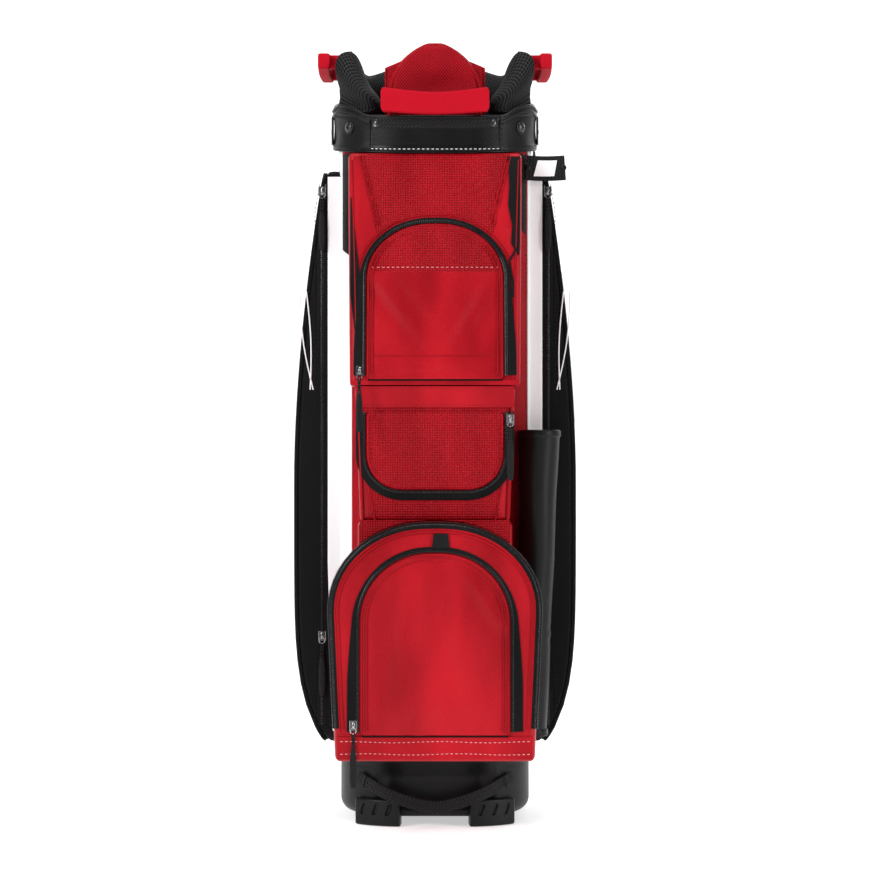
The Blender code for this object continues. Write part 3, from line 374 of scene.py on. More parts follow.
class Part:
    """Points and faces of one closed surface, with a UV per face corner and its finish."""

    def __init__(self, points, quads, quad_uv, finish, tris=None, tri_uv=None):
        self.points = np.asarray(points, float).reshape(-1, 3)
        self.quads = np.asarray(quads, int).reshape(-1, 4)
        self.quad_uv = np.asarray(quad_uv, float).reshape(-1, 4, 2)
        self.tris = np.zeros((0, 3), int) if tris is None else np.asarray(tris, int).reshape(-1, 3)
        self.tri_uv = np.zeros((0, 3, 2)) if tri_uv is None else np.asarray(tri_uv, float).reshape(-1, 3, 2)
        self.finish = finish
        self.second, self.seconds = finish, np.zeros(len(self.quads), bool)
        halves = np.concatenate([self.quads[:, [0, 1, 2]], self.quads[:, [0, 2, 3]], self.tris])
        corners = self.points[halves] - self.points.mean(0)
        volume = np.einsum("ij,ij->i", corners[:, 0], np.cross(corners[:, 1], corners[:, 2])).sum()
        if volume < 0:
            self.quads, self.quad_uv = self.quads[:, ::-1], self.quad_uv[:, ::-1]
            self.tris, self.tri_uv = self.tris[:, ::-1], self.tri_uv[:, ::-1]


def with_second(part, finish, where):
    """The same part, with a second finish on the faces whose middles pass a test of X, Y and Z."""
    middle = part.points[part.quads].mean(1)
    part.second, part.seconds = finish, where(middle[:, 0], middle[:, 1], middle[:, 2])
    return part


def run_lengths(points, axis, closed):
    """Distance walked along one axis of a grid of points, averaged over the other."""
    if closed:
        points = np.concatenate([points, points.take([0], axis)], axis)
    steps = np.linalg.norm(np.diff(points, axis=axis), axis=2).mean(1 - axis)
    return np.concatenate([[0.0], np.cumsum(steps)])


def loft(rings, finish, along=False, caps=True, flat=False):
    """A surface through closed sections. The last section joins the first when along is set, and
    otherwise each end is closed with a fan to its middle. UVs walk the surface in metres, or are
    the width and height of the point when flat is set."""
    rings = np.asarray(rings, float)
    count, size = rings.shape[:2]
    i = np.arange(count if along else count - 1)[:, None]
    j = np.arange(size)[None, :]
    after_i, after_j = (i + 1) % count, (j + 1) % size
    quads = np.stack([i * size + j, i * size + after_j, after_i * size + after_j, after_i * size + j], -1)
    if flat:
        plane = rings[:, :, [0, 2]]
        uv = np.stack([plane[i, j], plane[i, after_j], plane[after_i, after_j], plane[after_i, j]], -2)
    else:
        u, v = run_lengths(rings, 1, True), run_lengths(rings, 0, along)
        i, j = np.broadcast_arrays(i, j)
        corners = ((i, j), (i, j + 1), (i + 1, j + 1), (i + 1, j))
        uv = np.stack([np.stack([u[b], v[a]], -1) for a, b in corners], -2)
    points = rings.reshape(-1, 3)
    tris, tri_uv = None, None
    if caps and not along:
        ends = [rings[0].mean(0), rings[-1].mean(0)]
        points = np.concatenate([points, ends])
        turn = np.arange(size)
        following = (turn + 1) % size
        first = np.stack([following, turn, np.full(size, count * size)], -1)
        base = (count - 1) * size
        last = np.stack([base + turn, base + following, np.full(size, count * size + 1)], -1)
        tris = np.concatenate([first, last])
        tri_uv = points[tris][:, :, [0, 2] if flat else [0, 1]]
    return Part(points, quads, uv, finish, tris, tri_uv)


def piece(name, body, parts, hides=(), sharp=40.0):
    """One object from its parts, riding on a body and standing for the CAD nodes it hides."""
    mesh = bpy.data.meshes.new(name)
    used = list(dict.fromkeys([part.finish for part in parts] + [part.second for part in parts]))
    starts = np.cumsum([0] + [len(part.points) for part in parts])
    points = np.concatenate([part.points for part in parts])
    corners, sides, uvs, finish = [], [], [], []
    for part, start in zip(parts, starts):
        for faces, uv in ((part.quads, part.quad_uv), (part.tris, part.tri_uv)):
            corners.append((faces + start).ravel())
            sides.append(np.full(len(faces), faces.shape[1]))
            uvs.append(uv.reshape(-1, 2))
            picks = np.full(len(faces), used.index(part.finish))
            if faces is part.quads:
                picks[part.seconds] = used.index(part.second)
            finish.append(picks)
    corners, sides = np.concatenate(corners), np.concatenate(sides)
    mesh.vertices.add(len(points))
    mesh.vertices.foreach_set("co", points.ravel())
    mesh.loops.add(len(corners))
    mesh.loops.foreach_set("vertex_index", corners)
    mesh.polygons.add(len(sides))
    mesh.polygons.foreach_set("loop_start", np.concatenate([[0], np.cumsum(sides)[:-1]]))
    mesh.polygons.foreach_set("material_index", np.concatenate(finish))
    layer = mesh.uv_layers.new(name="metres")
    layer.data.foreach_set("uv", np.concatenate(uvs).ravel())
    for key in used:
        mesh.materials.append(FINISHES[key])
    mesh.update(calc_edges=True)
    mesh.shade_smooth()
    mesh.set_sharp_from_angle(angle=math.radians(sharp))
    item = bpy.data.objects.new(name, mesh)
    bpy.context.scene.collection.objects.link(item)
    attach(item, body)
    if hides:
        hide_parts(*hides)
    return item


def full_turn(count):
    """Angles evenly round a circle."""
    return np.linspace(0, 2 * np.pi, count, endpoint=False)


def rounded(width, height, power=0.5, count=20):
    """A closed profile: a circle whose sine and cosine are raised to a power, so it squares up."""
    angle = full_turn(count) + np.pi / count
    x, y = np.cos(angle), np.sin(angle)
    return np.stack([np.sign(x) * np.abs(x) ** power * width / 2, np.sign(y) * np.abs(y) ** power * height / 2], -1)


def unit(vectors):
    """Vectors scaled to a length of one."""
    return vectors / np.maximum(np.linalg.norm(vectors, axis=-1, keepdims=True), 1e-12)


def frames(path, normal, closed=False):
    """Direction along a path, across it, and out of the face it lies on."""
    if closed:
        ahead = np.roll(path, -1, 0) - np.roll(path, 1, 0)
    else:
        ahead = np.gradient(path, axis=0)
    ahead = unit(ahead)
    normal = np.broadcast_to(np.asarray(normal, float), path.shape)
    across = unit(np.cross(ahead, normal))
    return ahead, across, unit(np.cross(across, ahead))


def ribbon(path, normal, profile, finish, closed=False, wide=1.0, deep=1.0):
    """A profile carried along a path: its first number goes across the face, its second out."""
    path = np.asarray(path, float)
    _, across, out = frames(path, normal, closed)
    wide = np.broadcast_to(wide, len(path))[:, None, None]
    deep = np.broadcast_to(deep, len(path))[:, None, None]
    sideways = across[:, None] * profile[None, :, :1] * wide
    return loft(path[:, None] + sideways + out[:, None] * profile[None, :, 1:] * deep, finish, along=closed)


def pipe(path, radius, finish, normal=(0, -1, 0), closed=False, count=10):
    """A round cord along a path."""
    return ribbon(path, normal, rounded(2 * radius, 2 * radius, 1.0, count), finish, closed)


def spaced(path, normal, pitch, closed=False):
    """Points at an even distance along a path, and the face's direction at each."""
    path = np.asarray(path, float)
    both = np.concatenate([path, np.broadcast_to(np.asarray(normal, float), path.shape)], 1)
    if closed:
        both = np.concatenate([both, both[:1]])
    walked = np.concatenate([[0.0], np.cumsum(np.linalg.norm(np.diff(both[:, :3], axis=0), axis=1))])
    count = max(int(walked[-1] / pitch), 2)
    at = np.linspace(0, walked[-1], count, endpoint=not closed)
    even = np.stack([np.interp(at, walked, both[:, axis]) for axis in range(6)], -1)
    return even[:, :3], unit(even[:, 3:])


def repeated(path, normal, size, finish, lift=0.0, closed=False, tilt=0.0):
    """Small lozenges along a path, such as stitches or teeth: a ring of six points and two ends,
    of the given length, width and height."""
    ahead, across, out = frames(path, normal, closed)
    if tilt:
        ahead, across = unit(ahead + across * tilt), unit(across - ahead * tilt)
    turn = np.arange(6) * np.pi / 3
    shape = [(-0.5, 0.0, 0.0)]
    for share in (-0.3, 0.3):
        shape += [(share, 0.5 * math.cos(a), 0.5 * math.sin(a)) for a in turn]
    shape = np.array(shape + [(0.5, 0.0, 0.0)]) * np.asarray(size)
    base = np.asarray(path) + out * lift
    points = base[:, None] + ahead[:, None] * shape[:, :1] + across[:, None] * shape[:, 1:2]
    points = points + out[:, None] * shape[:, 2:]
    ring = np.arange(6)
    after = (ring + 1) % 6
    quads = np.stack([1 + ring, 1 + after, 7 + after, 7 + ring], -1)
    ends = (after + 1, ring + 1, 0 * ring), (ring + 7, after + 7, 0 * ring + 13)
    tris = np.concatenate([np.stack(end, -1) for end in ends])
    shift = (np.arange(len(base)) * len(shape))[:, None, None]
    flat = points.reshape(-1, 3)
    quads, tris = (quads[None] + shift).reshape(-1, 4), (tris[None] + shift).reshape(-1, 3)
    return Part(flat, quads, flat[quads][:, :, [0, 2]], finish, tris, flat[tris][:, :, [0, 2]])


def stitches(path, normal, finish="thread", lift=0.0002, closed=False, width=0.0009):
    """A row of stitches along a path."""
    size = (sizes().stitch_length, width, width * 0.8)
    points, out = spaced(path, normal, sizes().stitch_pitch, closed)
    return repeated(points, out, size, finish, lift, closed)


def teeth(path, normal, width=0.0036, lift=0.0004, closed=False):
    """The turns of a zip's coil, across its path."""
    pitch = sizes().tooth_pitch
    points, out = spaced(path, normal, pitch, closed)
    return repeated(points, out, (pitch * 0.72, width, 0.0016), "coil", lift, closed, tilt=0.18)


# ---------------------------------------------------------------- shapes of the bag


def ease(low, high, share):
    """A value that eases from low to high as share goes from 0 to 1."""
    share = np.clip(share, 0.0, 1.0)
    return low + (high - low) * share * share * (3 - 2 * share)


def lerp(low, high, share):
    """A value on a straight line from low to high."""
    return low + (high - low) * share


def quarter(share):
    """How far a quarter circle has risen at a share of its run."""
    return np.sqrt(1 - (1 - share) ** 2)


def bell(at, middle, width):
    """A bell curve: one at its middle, and gone a few widths away."""
    return np.exp(-(((at - middle) / width) ** 2))


def steady(value):
    """A height or depth that is the same everywhere."""
    return lambda at: value + 0 * at


def shifted(edge, by):
    """An edge's height, moved up or down."""
    return lambda y: edge(y) + by


def box(name):
    """The lowest and the highest corner of a node, as arrays."""
    low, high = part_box(name)
    return np.array(low), np.array(high)


def around(place, offset):
    """A point of the tube's outline: straight for one place each side of a middle, then a quarter
    circle over six places, moved out by an offset."""
    place, offset = np.broadcast_arrays(np.asarray(place, float), np.asarray(offset, float))
    corner = np.floor(np.mod(place, ROUND) / 8)
    step = np.mod(place, ROUND) - 8 * corner
    angle = (np.clip(step, 1, 7) - 1) / 6 * np.pi / 2
    reach = TUBE_CORNER + offset
    x = TUBE_FLAT * np.minimum(step, 1) + reach * np.sin(angle)
    y = -TUBE_FLAT - reach * np.cos(angle) + TUBE_FLAT * np.maximum(step - 7, 0)
    turn = corner * np.pi / 2
    return x * np.cos(turn) - y * np.sin(turn), x * np.sin(turn) + y * np.cos(turn) + TUBE_Y


def outward(place):
    """The direction straight out of the tube at a place."""
    x, y = around(place, 0.02)
    near_x, near_y = around(place, 0.0)
    return unit(np.stack([x - near_x, y - near_y, 0 * x], -1))


def tube_path(place, offset, height):
    """Points round the tube, at heights that are a function of Y."""
    x, y = around(place, offset)
    return np.stack([x, y, height(y)], -1)


def upright(place, offset, z):
    """A line straight up the tube at a place, at given heights."""
    x, y = around(place, offset)
    return np.stack([0 * z + x, 0 * z + y, z], -1)


def collar_low(y):
    """Height of the collar's lower edge."""
    return 0.774 + 0.15 * (y + 0.090)


def collar_high(y):
    """Height of the collar's upper edge."""
    return 0.815 + 0.21 * (y + 0.090)


def tube_depth(x):
    """Depth of the tube's front face at a distance from the middle."""
    past = np.maximum(np.abs(x) - TUBE_FLAT, 0)
    return TUBE_HALF - TUBE_Y - TUBE_CORNER + np.sqrt(np.maximum(TUBE_CORNER**2 - past**2, 0))


def upper_face(z):
    """Depth of the upper pocket's face."""
    return lerp(0.135, 0.0905, (z - 0.5058) / 0.2677)


def middle_face(z):
    """Depth of the middle pocket's face."""
    return lerp(0.125, 0.135, (z - 0.352) / 0.1535)


def ball_face(z):
    """Depth of the ball pocket's face."""
    return lerp(0.174, 0.164, (z - 0.0855) / 0.2655)


def side_face(z):
    """Depth of a side pocket's face, fullest below the middle and falling away by powers."""
    high = 0.0345 * np.clip((z - 0.4) / 0.36, 0, 1.2) ** 1.74
    low = 0.036 * np.clip((0.4 - z) / 0.31, 0, 1.2) ** 6
    return 0.1607 - high - low


def rows(half_low, half_high, bottom, top, low=SMALL_CORNER, high=SMALL_CORNER, grown=0.0):
    """Heights and half widths of an outline. Each corner is a quarter ellipse, given by how far it
    reaches across and rises, and the outline can be grown outwards."""
    turn = np.linspace(0, np.pi / 2, CORNER_STEPS)
    bottom, top = bottom - grown, top + grown
    low, high = [max(part + grown, 0.002) for part in low], [max(part + grown, 0.002) for part in high]
    z = [bottom + low[1] * (1 - np.cos(turn)), np.linspace(bottom + low[1], top - high[1], SIDE_STEPS)[1:-1]]
    z.append(top - high[1] * (1 - np.sin(turn)))
    drawn = [low[0] * (1 - np.sin(turn)), np.zeros(SIDE_STEPS - 2), high[0] * (1 - np.cos(turn))]
    z, drawn = np.concatenate(z), np.concatenate(drawn)
    return z, lerp(half_low, half_high, (z - bottom) / (top - bottom)) + grown - drawn


def grown(outline, by):
    """The rows of an outline grown outwards, or drawn in where by is less than zero."""
    return rows(**{**outline, "grown": by})


def closed_outline(z, half):
    """A closed outline from rows: along the bottom, up the right, along the top, down the left."""
    share = np.linspace(-1, 1, EDGE_STEPS + 2)[1:-1]
    bottom = np.stack([share * half[0], np.full(EDGE_STEPS, z[0])], -1)
    top = np.stack([-share * half[-1], np.full(EDGE_STEPS, z[-1])], -1)
    right, left = np.stack([half, z], -1), np.stack([-half[::-1], z[::-1]], -1)
    return np.concatenate([bottom, right, top, left])


def arch_path(z, half, start=None):
    """An open outline from the lower left, over the top and down to the lower right."""
    keep = slice(None) if start is None else z >= start
    z, half = z[keep], half[keep]
    share = np.linspace(-1, 1, EDGE_STEPS)
    left, right = np.stack([-half, z], -1), np.stack([half[::-1], z[::-1]], -1)
    return np.concatenate([left[:-1], np.stack([share * half[-1], np.full(EDGE_STEPS, z[-1])], -1), right[1:]])


def cup_path(z, half, stop=None):
    """An open outline from the upper left, down under the bottom and up to the upper right."""
    keep = slice(None) if stop is None else z <= stop
    z, half = z[keep], half[keep]
    share = np.linspace(-1, 1, EDGE_STEPS)
    left, right = np.stack([-half[::-1], z[::-1]], -1), np.stack([half, z], -1)
    return np.concatenate([left[:-1], np.stack([share * half[0], np.full(EDGE_STEPS, z[0])], -1), right[1:]])


def on_face(flat, face, lift=0.0):
    """Points of an outline laid on a pocket's face, lifted off it, and the face's direction."""
    x, z = flat[:, 0], flat[:, 1]
    slope = (face(z + 0.001) - face(z - 0.001)) / 0.002
    normal = unit(np.stack([0 * x, -1 + 0 * x, -slope], -1))
    return np.stack([x, -face(z), z], -1) + normal * lift, normal


def cord_on(flat, face, lift, radius, finish="red", closed=False):
    """A thin round cord along an outline laid on a face."""
    path, normal = on_face(flat, face, lift)
    return pipe(path, radius, finish, normal, closed, CORD_SIDES)


def stitches_on(flat, face, lift, finish="red_thread", closed=False):
    """A row of stitches along an outline laid on a face."""
    path, normal = on_face(flat, face, lift)
    return stitches(path, normal, finish, closed=closed)


def folds(x, z, waves):
    """Soft folds: cosine waves, each fading out along and across its own line."""
    total = np.zeros(np.broadcast(x, z).shape)
    for at_x, at_z, angle, wave, long, wide, height in waves:
        run = (x - at_x) * math.cos(angle) + (z - at_z) * math.sin(angle)
        off = (z - at_z) * math.cos(angle) - (x - at_x) * math.sin(angle)
        total = total + height * np.exp(-((run / long) ** 2) - (off / wide) ** 2) * np.cos(2 * np.pi * off / wave)
    return total


def turned(parts, side):
    """Parts made facing the front, turned to face a side of the bag."""
    for part in parts:
        x, y = part.points[:, 0].copy(), part.points[:, 1].copy()
        part.points[:, 0] = -y * side
        part.points[:, 1] = x * side + SIDE_Y
    return parts


def slab(outline, back, front, finish, edge=0.0015, across=40):
    """A padded panel from level sections: flat at the back, and at the front a depth that is a
    function of the point, drawn in over its edge as a quarter circle all round."""
    z, half = outline
    share = np.sin(np.linspace(-1, 1, across) * np.pi / 2)
    fronts = np.stack([half[:, None] * share, np.broadcast_to(z[:, None], (len(z), across))], -1)
    x, level = fronts[..., 0], fronts[..., 1]
    nearest = np.minimum(half[:, None] - np.abs(x), np.minimum(level - z[0], z[-1] - level))
    low = back(level)
    depth = lerp(low + 0.0004, front(x, level), quarter(np.clip(nearest / edge, 0, 1)))
    face = np.stack([x, -depth, level], -1)
    rear = np.stack([x, -low, level], -1)[:, ::-1]
    return loft(np.concatenate([face, rear], 1), finish, flat=True)


def pouch(outer, opening, back, face, finish, wall=SKIN, edge=0.006, bulge=None, inside="black"):
    """A pocket's walls: up its side, over a rounded edge, across the face to the opening, and back
    inside. Between the edge and the opening the outline is a blend of the two outlines."""
    edge_loop, hole = closed_outline(*outer), closed_outline(*opening)
    centre = np.array([0.0, edge_loop[:, 1].mean()])
    ahead = unit(np.roll(edge_loop, -1, 0) - np.roll(edge_loop, 1, 0))
    inward = np.stack([-ahead[:, 1], ahead[:, 0]], -1)
    inward *= np.sign(((centre - edge_loop) * inward).sum(1, keepdims=True))
    bulge = bulge or (lambda x, z: 0 * x)
    stations = []

    def add(flat, depth):
        stations.append(np.stack([flat[:, 0], -depth, flat[:, 1]], -1))

    low = back(edge_loop[:, 0]) - 0.0006
    full = face(edge_loop[:, 1])
    swell = 0.0015 * np.minimum((full - low) / 0.05, 1)
    for share in np.linspace(0, 1, 8)[:-1]:
        out = inward * (-swell * math.sin(math.pi * share))[:, None]
        add(edge_loop + out, lerp(low, full - edge, share))
    for turn in np.linspace(0, np.pi / 2, 7):
        add(edge_loop + inward * edge * (1 - math.cos(turn)), full - edge * (1 - math.sin(turn)))
    start = edge_loop + inward * edge
    for share in np.linspace(0, 1, 11)[1:]:
        flat = lerp(start, hole, share)
        lift = math.sin(math.pi * share)
        add(flat, face(flat[:, 1]) + bulge(flat[:, 0], flat[:, 1]) * lift)
    outside = len(stations)
    add(hole, face(hole[:, 1]) - wall)
    inner = edge_loop + inward * (wall + 0.002)
    add(inner, face(inner[:, 1]) - wall - 0.002)
    add(inner, back(inner[:, 0]) + 0.0002)
    rings = np.stack(stations)
    shell = loft(rings, finish, along=True)
    size = rings.shape[1]
    plane = rings[:, :, [0, 2]].reshape(-1, 2)
    level = shell.quads.min(1) // size
    on_front = (level >= 8) & (level < outside)
    shell.quad_uv[on_front] = plane[shell.quads[on_front]]
    return shell


# ---------------------------------------------------------------- operators


class Maker:
    """What the operators that make the bag's pieces share."""

    bl_options = {"REGISTER", "UNDO"}


class BAG_OT_stage(Maker, bpy.types.Operator):
    """Make the pale floor and backdrop, the soft lights and the camera"""

    bl_idname = "bag.stage"
    bl_label = "Stage"

    def execute(self, context):
        scene = context.scene
        profile = [(-6.0, 0.0), (2.2, 0.0)]
        profile += [(2.2 + 1.2 * math.sin(a), 1.2 - 1.2 * math.cos(a)) for a in np.linspace(0.1, np.pi / 2, 12)]
        profile.append((3.4, 5.0))
        points = [(x, y, z - 0.0005) for y, z in profile for x in (-6.0, 6.0)]
        faces = [(2 * n, 2 * n + 1, 2 * n + 3, 2 * n + 2) for n in range(len(profile) - 1)]
        mesh = bpy.data.meshes.new("studio floor")
        mesh.from_pydata(points, [], faces)
        mesh.shade_smooth()
        floor = bpy.data.objects.new("studio_floor", mesh)
        scene.collection.objects.link(floor)
        paper = Finish("backdrop paper", roughness=0.9)
        shade = paper.noise(3.0, 2.0)
        paper.shader.inputs["Emission Color"].default_value = (1.0, 1.0, 1.0, 1.0)
        paper.shader.inputs["Emission Strength"].default_value = 0.50
        pale = paper.mix(shade, (0.86, 0.86, 0.86), (0.90, 0.90, 0.90))
        mesh.materials.append(paper.done(pale, None, paper.noise(200.0), 0.0001))
        world = bpy.data.worlds.new("soft white")
        world.use_nodes = True
        world.node_tree.nodes["Background"].inputs["Color"].default_value = (1.0, 1.0, 1.0, 1.0)
        world.node_tree.nodes["Background"].inputs["Strength"].default_value = 0.22
        scene.world = world
        lamps = (
            ("key", (-1.9, -1.9, 1.7), (0.7, 1.4), 58.0),
            ("fill", (2.3, -1.5, 1.1), (0.6, 1.8), 34.0),
            ("top", (0.0, -0.2, 2.6), (1.4, 1.0), 26.0),
            ("rim light", (0.6, 2.0, 1.6), (1.4, 1.0), 14.0),
        )
        for name, spot, (wide, high), power in lamps:
            light = bpy.data.lights.new(name, "AREA")
            light.shape = "RECTANGLE"
            light.size, light.size_y, light.energy = wide, high, power
            lamp = bpy.data.objects.new(name, light)
            lamp.location = spot
            aim = np.array((0.0, 0.0, 0.45)) - np.array(spot)
            flat = math.hypot(aim[0], aim[1])
            lamp.rotation_euler = (math.atan2(flat, -aim[2]), 0.0, math.atan2(-aim[0], aim[1]))
            scene.collection.objects.link(lamp)
        data = bpy.data.cameras.new("camera")
        data.lens, data.sensor_width = 105.0, 36.0
        camera = bpy.data.objects.new("camera", data)
        camera.location = (0.0, -3.0, 0.45)
        camera.rotation_euler = (math.radians(90), 0.0, 0.0)
        scene.collection.objects.link(camera)
        scene.camera = camera
        scene.view_settings.view_transform = "Standard"
        return {"FINISHED"}


def tube_wall(start, stop, low, high, finish, inner=-SKIN, outer=0.0, steps=90, levels=60, wave=None):
    """A wall that follows the tube: its outer face as rows of points, then its inner face."""
    place = np.linspace(start, stop, steps)[:, None]
    share = np.concatenate([np.linspace(0, 1, levels), [1.0, 0.0]])[None, :]
    side = np.concatenate([np.full(levels, outer), [inner, inner]])[None, :]
    _, mid_y = around(place, 0.0)
    z = lerp(low(mid_y), high(mid_y), share)
    if wave is not None:
        side = side + np.where(side == outer, wave(place, z), 0.0)
    x, y = around(place, side)
    x, y, z = np.broadcast_arrays(x, y, z)
    return loft(np.stack([x, y, z], -1), finish)


class BAG_OT_panels(Maker, bpy.types.Operator):
    """Make the four sewn panels of the bag's body, with piping along their seams"""

    bl_idname = "bag.panels"
    bl_label = "Body panels"

    def execute(self, context):
        foot, height = 0.075, np.linspace(0.077, 0.786, 120)

        def wave(place, z):
            slow = np.sin(place * 1.7 + z * 23) * np.sin(z * 31 + place * 0.6)
            return 0.0005 * slow * np.clip((z - foot) / 0.03, 0, 1) - 0.0002

        panels = (("front", "red"), ("right", "white"), ("back", "black"), ("left", "white"))
        for (name, finish), start, stop in zip(panels, SEAM_PLACES, SEAM_PLACES[1:]):
            high = shifted(collar_high, -0.002)
            parts = [tube_wall(start + 0.01, stop - 0.01, steady(foot), high, finish, wave=wave)]
            cord = "black" if finish == "black" else "white"
            parts.append(pipe(upright(stop, 0.0008, height), sizes().piping, cord, outward(stop)))
            thread = "thread" if finish == "white" else "black_thread"
            for place in (stop - 0.28, stop + 0.28):
                parts.append(stitches(upright(place, 0.0005, height), outward(place), thread))
            hem = np.linspace(start + 0.05, stop - 0.05, 90)
            path = tube_path(hem, 0.0008, steady(0.0795))
            edging = "red" if finish == "red" else "vinyl"
            parts.append(ribbon(path, outward(hem), rounded(0.009, 0.0016, 0.5, 12), edging))
            if name == "front":
                parts += self.shoulders()
            piece(f"{name}_body_panel_sewn", "root", parts, [f"{name}_body_panel"])
        return {"FINISHED"}

    def shoulders(self):
        """The white and black coverings at the top corners of the front panel, and a slanted cord."""
        coverings = (
            (-5.42, -4.38, steady(0.30), "white", 0.0002, 0.0010, 40),
            (-5.30, -4.36, lambda y: 0.6595 + 0.53 * (y + 0.051), "vinyl", 0.0008, 0.0018, 12),
            (4.36, 5.25, lambda y: 0.690 - 0.6 * (y + 0.051), "vinyl", 0.0001, 0.0005, 12),
        )
        parts = [tube_wall(first, last, low, steady(0.777), finish, inner, outer, 20, levels)
                 for first, last, low, finish, inner, outer, levels in coverings]
        slope = np.linspace(-5.30, -4.36, 20)
        line = tube_path(slope, 0.0014, lambda y: 0.6580 + 0.53 * (y + 0.051))
        return parts + [pipe(line, 0.0012, "white", outward(slope), count=CORD_SIDES)]


class BAG_OT_collar(Maker, bpy.types.Operator):
    """Make the vinyl collar with its welts, seams, stitches, rivets and snaps"""

    bl_idname = "bag.collar"
    bl_label = "Collar"

    def execute(self, context):
        place = np.linspace(0, ROUND, 361)[:-1]
        profile = np.array([
            (0.0, 0.0006), (0.0, 0.0040), (0.02, 0.0056), (0.06, 0.0062), (0.12, 0.0060), (0.2, 0.0052),
            (0.35, 0.0048), (0.5, 0.0047), (0.65, 0.0048), (0.8, 0.0053), (0.9, 0.0062), (0.97, 0.0060),
            (1.0, 0.0044), (1.0, 0.0006), (0.5, 0.0003),
        ])
        _, mid_y = around(place, 0.0)
        z = lerp(collar_low(mid_y)[:, None], collar_high(mid_y)[:, None], profile[None, :, 0])
        ripple = 0.0004 * np.sin(place * 3.1)[:, None] * np.sin(z * 160) * (profile[None, :, 1] > 0.0045)
        x, y = around(place[:, None], profile[None, :, 1] + ripple)
        out = outward(place)
        bib = np.linspace(-FRONT_REACH, FRONT_REACH, 120)
        parts = [
            loft(np.stack([x, y, z], -1), "vinyl", along=True),
            pipe(tube_path(place, 0.0052, shifted(collar_high, -0.0004)), 0.0021, "vinyl", out, True),
            pipe(tube_path(place, 0.0050, shifted(collar_low, 0.0006)), 0.0014, "vinyl", out, True, CORD_SIDES),
            stitches(tube_path(bib, 0.0062, shifted(collar_low, 0.0040)), outward(bib), "thread", 0.0003),
            stitches(tube_path(place, 0.0060, shifted(collar_low, 0.0055)), out, "black_thread", closed=True),
            stitches(tube_path(place, 0.0058, shifted(collar_high, -0.0052)), out, "black_thread", closed=True),
        ]
        for side in (-1, 1):
            parts += self.seam(side * 2.9) + self.hump(side)
        front = np.linspace(-FRONT_REACH, FRONT_REACH, 70)
        for share, deep in ((0.20, 0.0052), (0.82, 0.0054)):
            line = tube_path(front, deep, lambda y: lerp(collar_low(y), collar_high(y), share))
            parts.append(stitches(line, outward(front), "black_thread"))
        parts.append(tube_wall(-FRONT_REACH, FRONT_REACH, shifted(collar_low, 0.0075), shifted(collar_high, -0.0065),
                               "grain", 0.0044, 0.0062, 60, 14))
        parts.append(tube_wall(-2.7, 2.7, shifted(collar_high, -0.0145), shifted(collar_high, -0.0035),
                               "webbing", 0.0050, 0.0067, 60, 8))
        piece("collar_vinyl", "root", parts, ["collar"])
        fittings = []
        for side in (-1, 1):
            fittings += rivet(side * 4.35, 0.8065, 0.0062)
            fittings += snap(side * 2.55, 0.8085, 0.0048)
            fittings += side_tab(side * 6.7)
        piece("collar_fittings", "root", fittings)
        return {"FINISHED"}

    def seam(self, place):
        """An upright seam of the collar, with a row of stitches each side."""
        _, y = around(place, 0.0056)
        height = lerp(collar_low(y), collar_high(y), np.linspace(0.05, 0.95, 30))
        parts = [pipe(upright(place, 0.0056, height), 0.0011, "vinyl", outward(place))]
        for near in (place - 0.13, place + 0.13):
            parts.append(stitches(upright(near, 0.0055, height), outward(near), "black_thread"))
        return parts

    def hump(self, side):
        """The collar's raised shoulder on one side, with its cord, webbing strip and stitches."""
        place = np.linspace(2.9, 6.9, 80)
        rise = 0.0105 * np.exp(-np.abs((place - 4.7) / 1.25) ** 3)
        x, y = around(side * place[:, None], np.array([[0.0064] * 10 + [0.0042] * 2]))
        edge = collar_high(y[:, :1]) - 0.001
        share = np.concatenate([np.linspace(0, 1, 10), [1.0, 0.0]])
        z = edge + (rise[:, None] + 0.003) * share[None, :] - 0.003
        top = np.stack([x[:, 9], y[:, 9], z[:, 9]], -1)
        low, out = top - [0, 0, 0.0062], outward(side * place)
        return [
            loft(np.stack([x, y, z], -1), "vinyl"),
            pipe(top, 0.0016, "vinyl", out, count=CORD_SIDES),
            ribbon(low, out, rounded(0.0040, 0.0022, 0.8, 12), "vinyl"),
            stitches(low - [0, 0, 0.0038], out, "black_thread"),
        ]


def disc(centre, out, radii, depths, finish, lobes=0, lobe=0.0, count=48):
    """A turned shape on a face: rings of given radii and depths, with lobes if it is a star."""
    out = unit(np.asarray(out, float))
    side = unit(np.cross(out, (0.0, 0.0, 1.0)))
    up = np.cross(side, out)
    turn = full_turn(count)
    rings = []
    for radius, depth in zip(radii, depths):
        reach = radius * (1 + lobe * np.cos(lobes * turn))[:, None]
        rings.append(centre + np.cos(turn)[:, None] * side * reach + np.sin(turn)[:, None] * up * reach + out * depth)
    return loft(np.array(rings), finish)


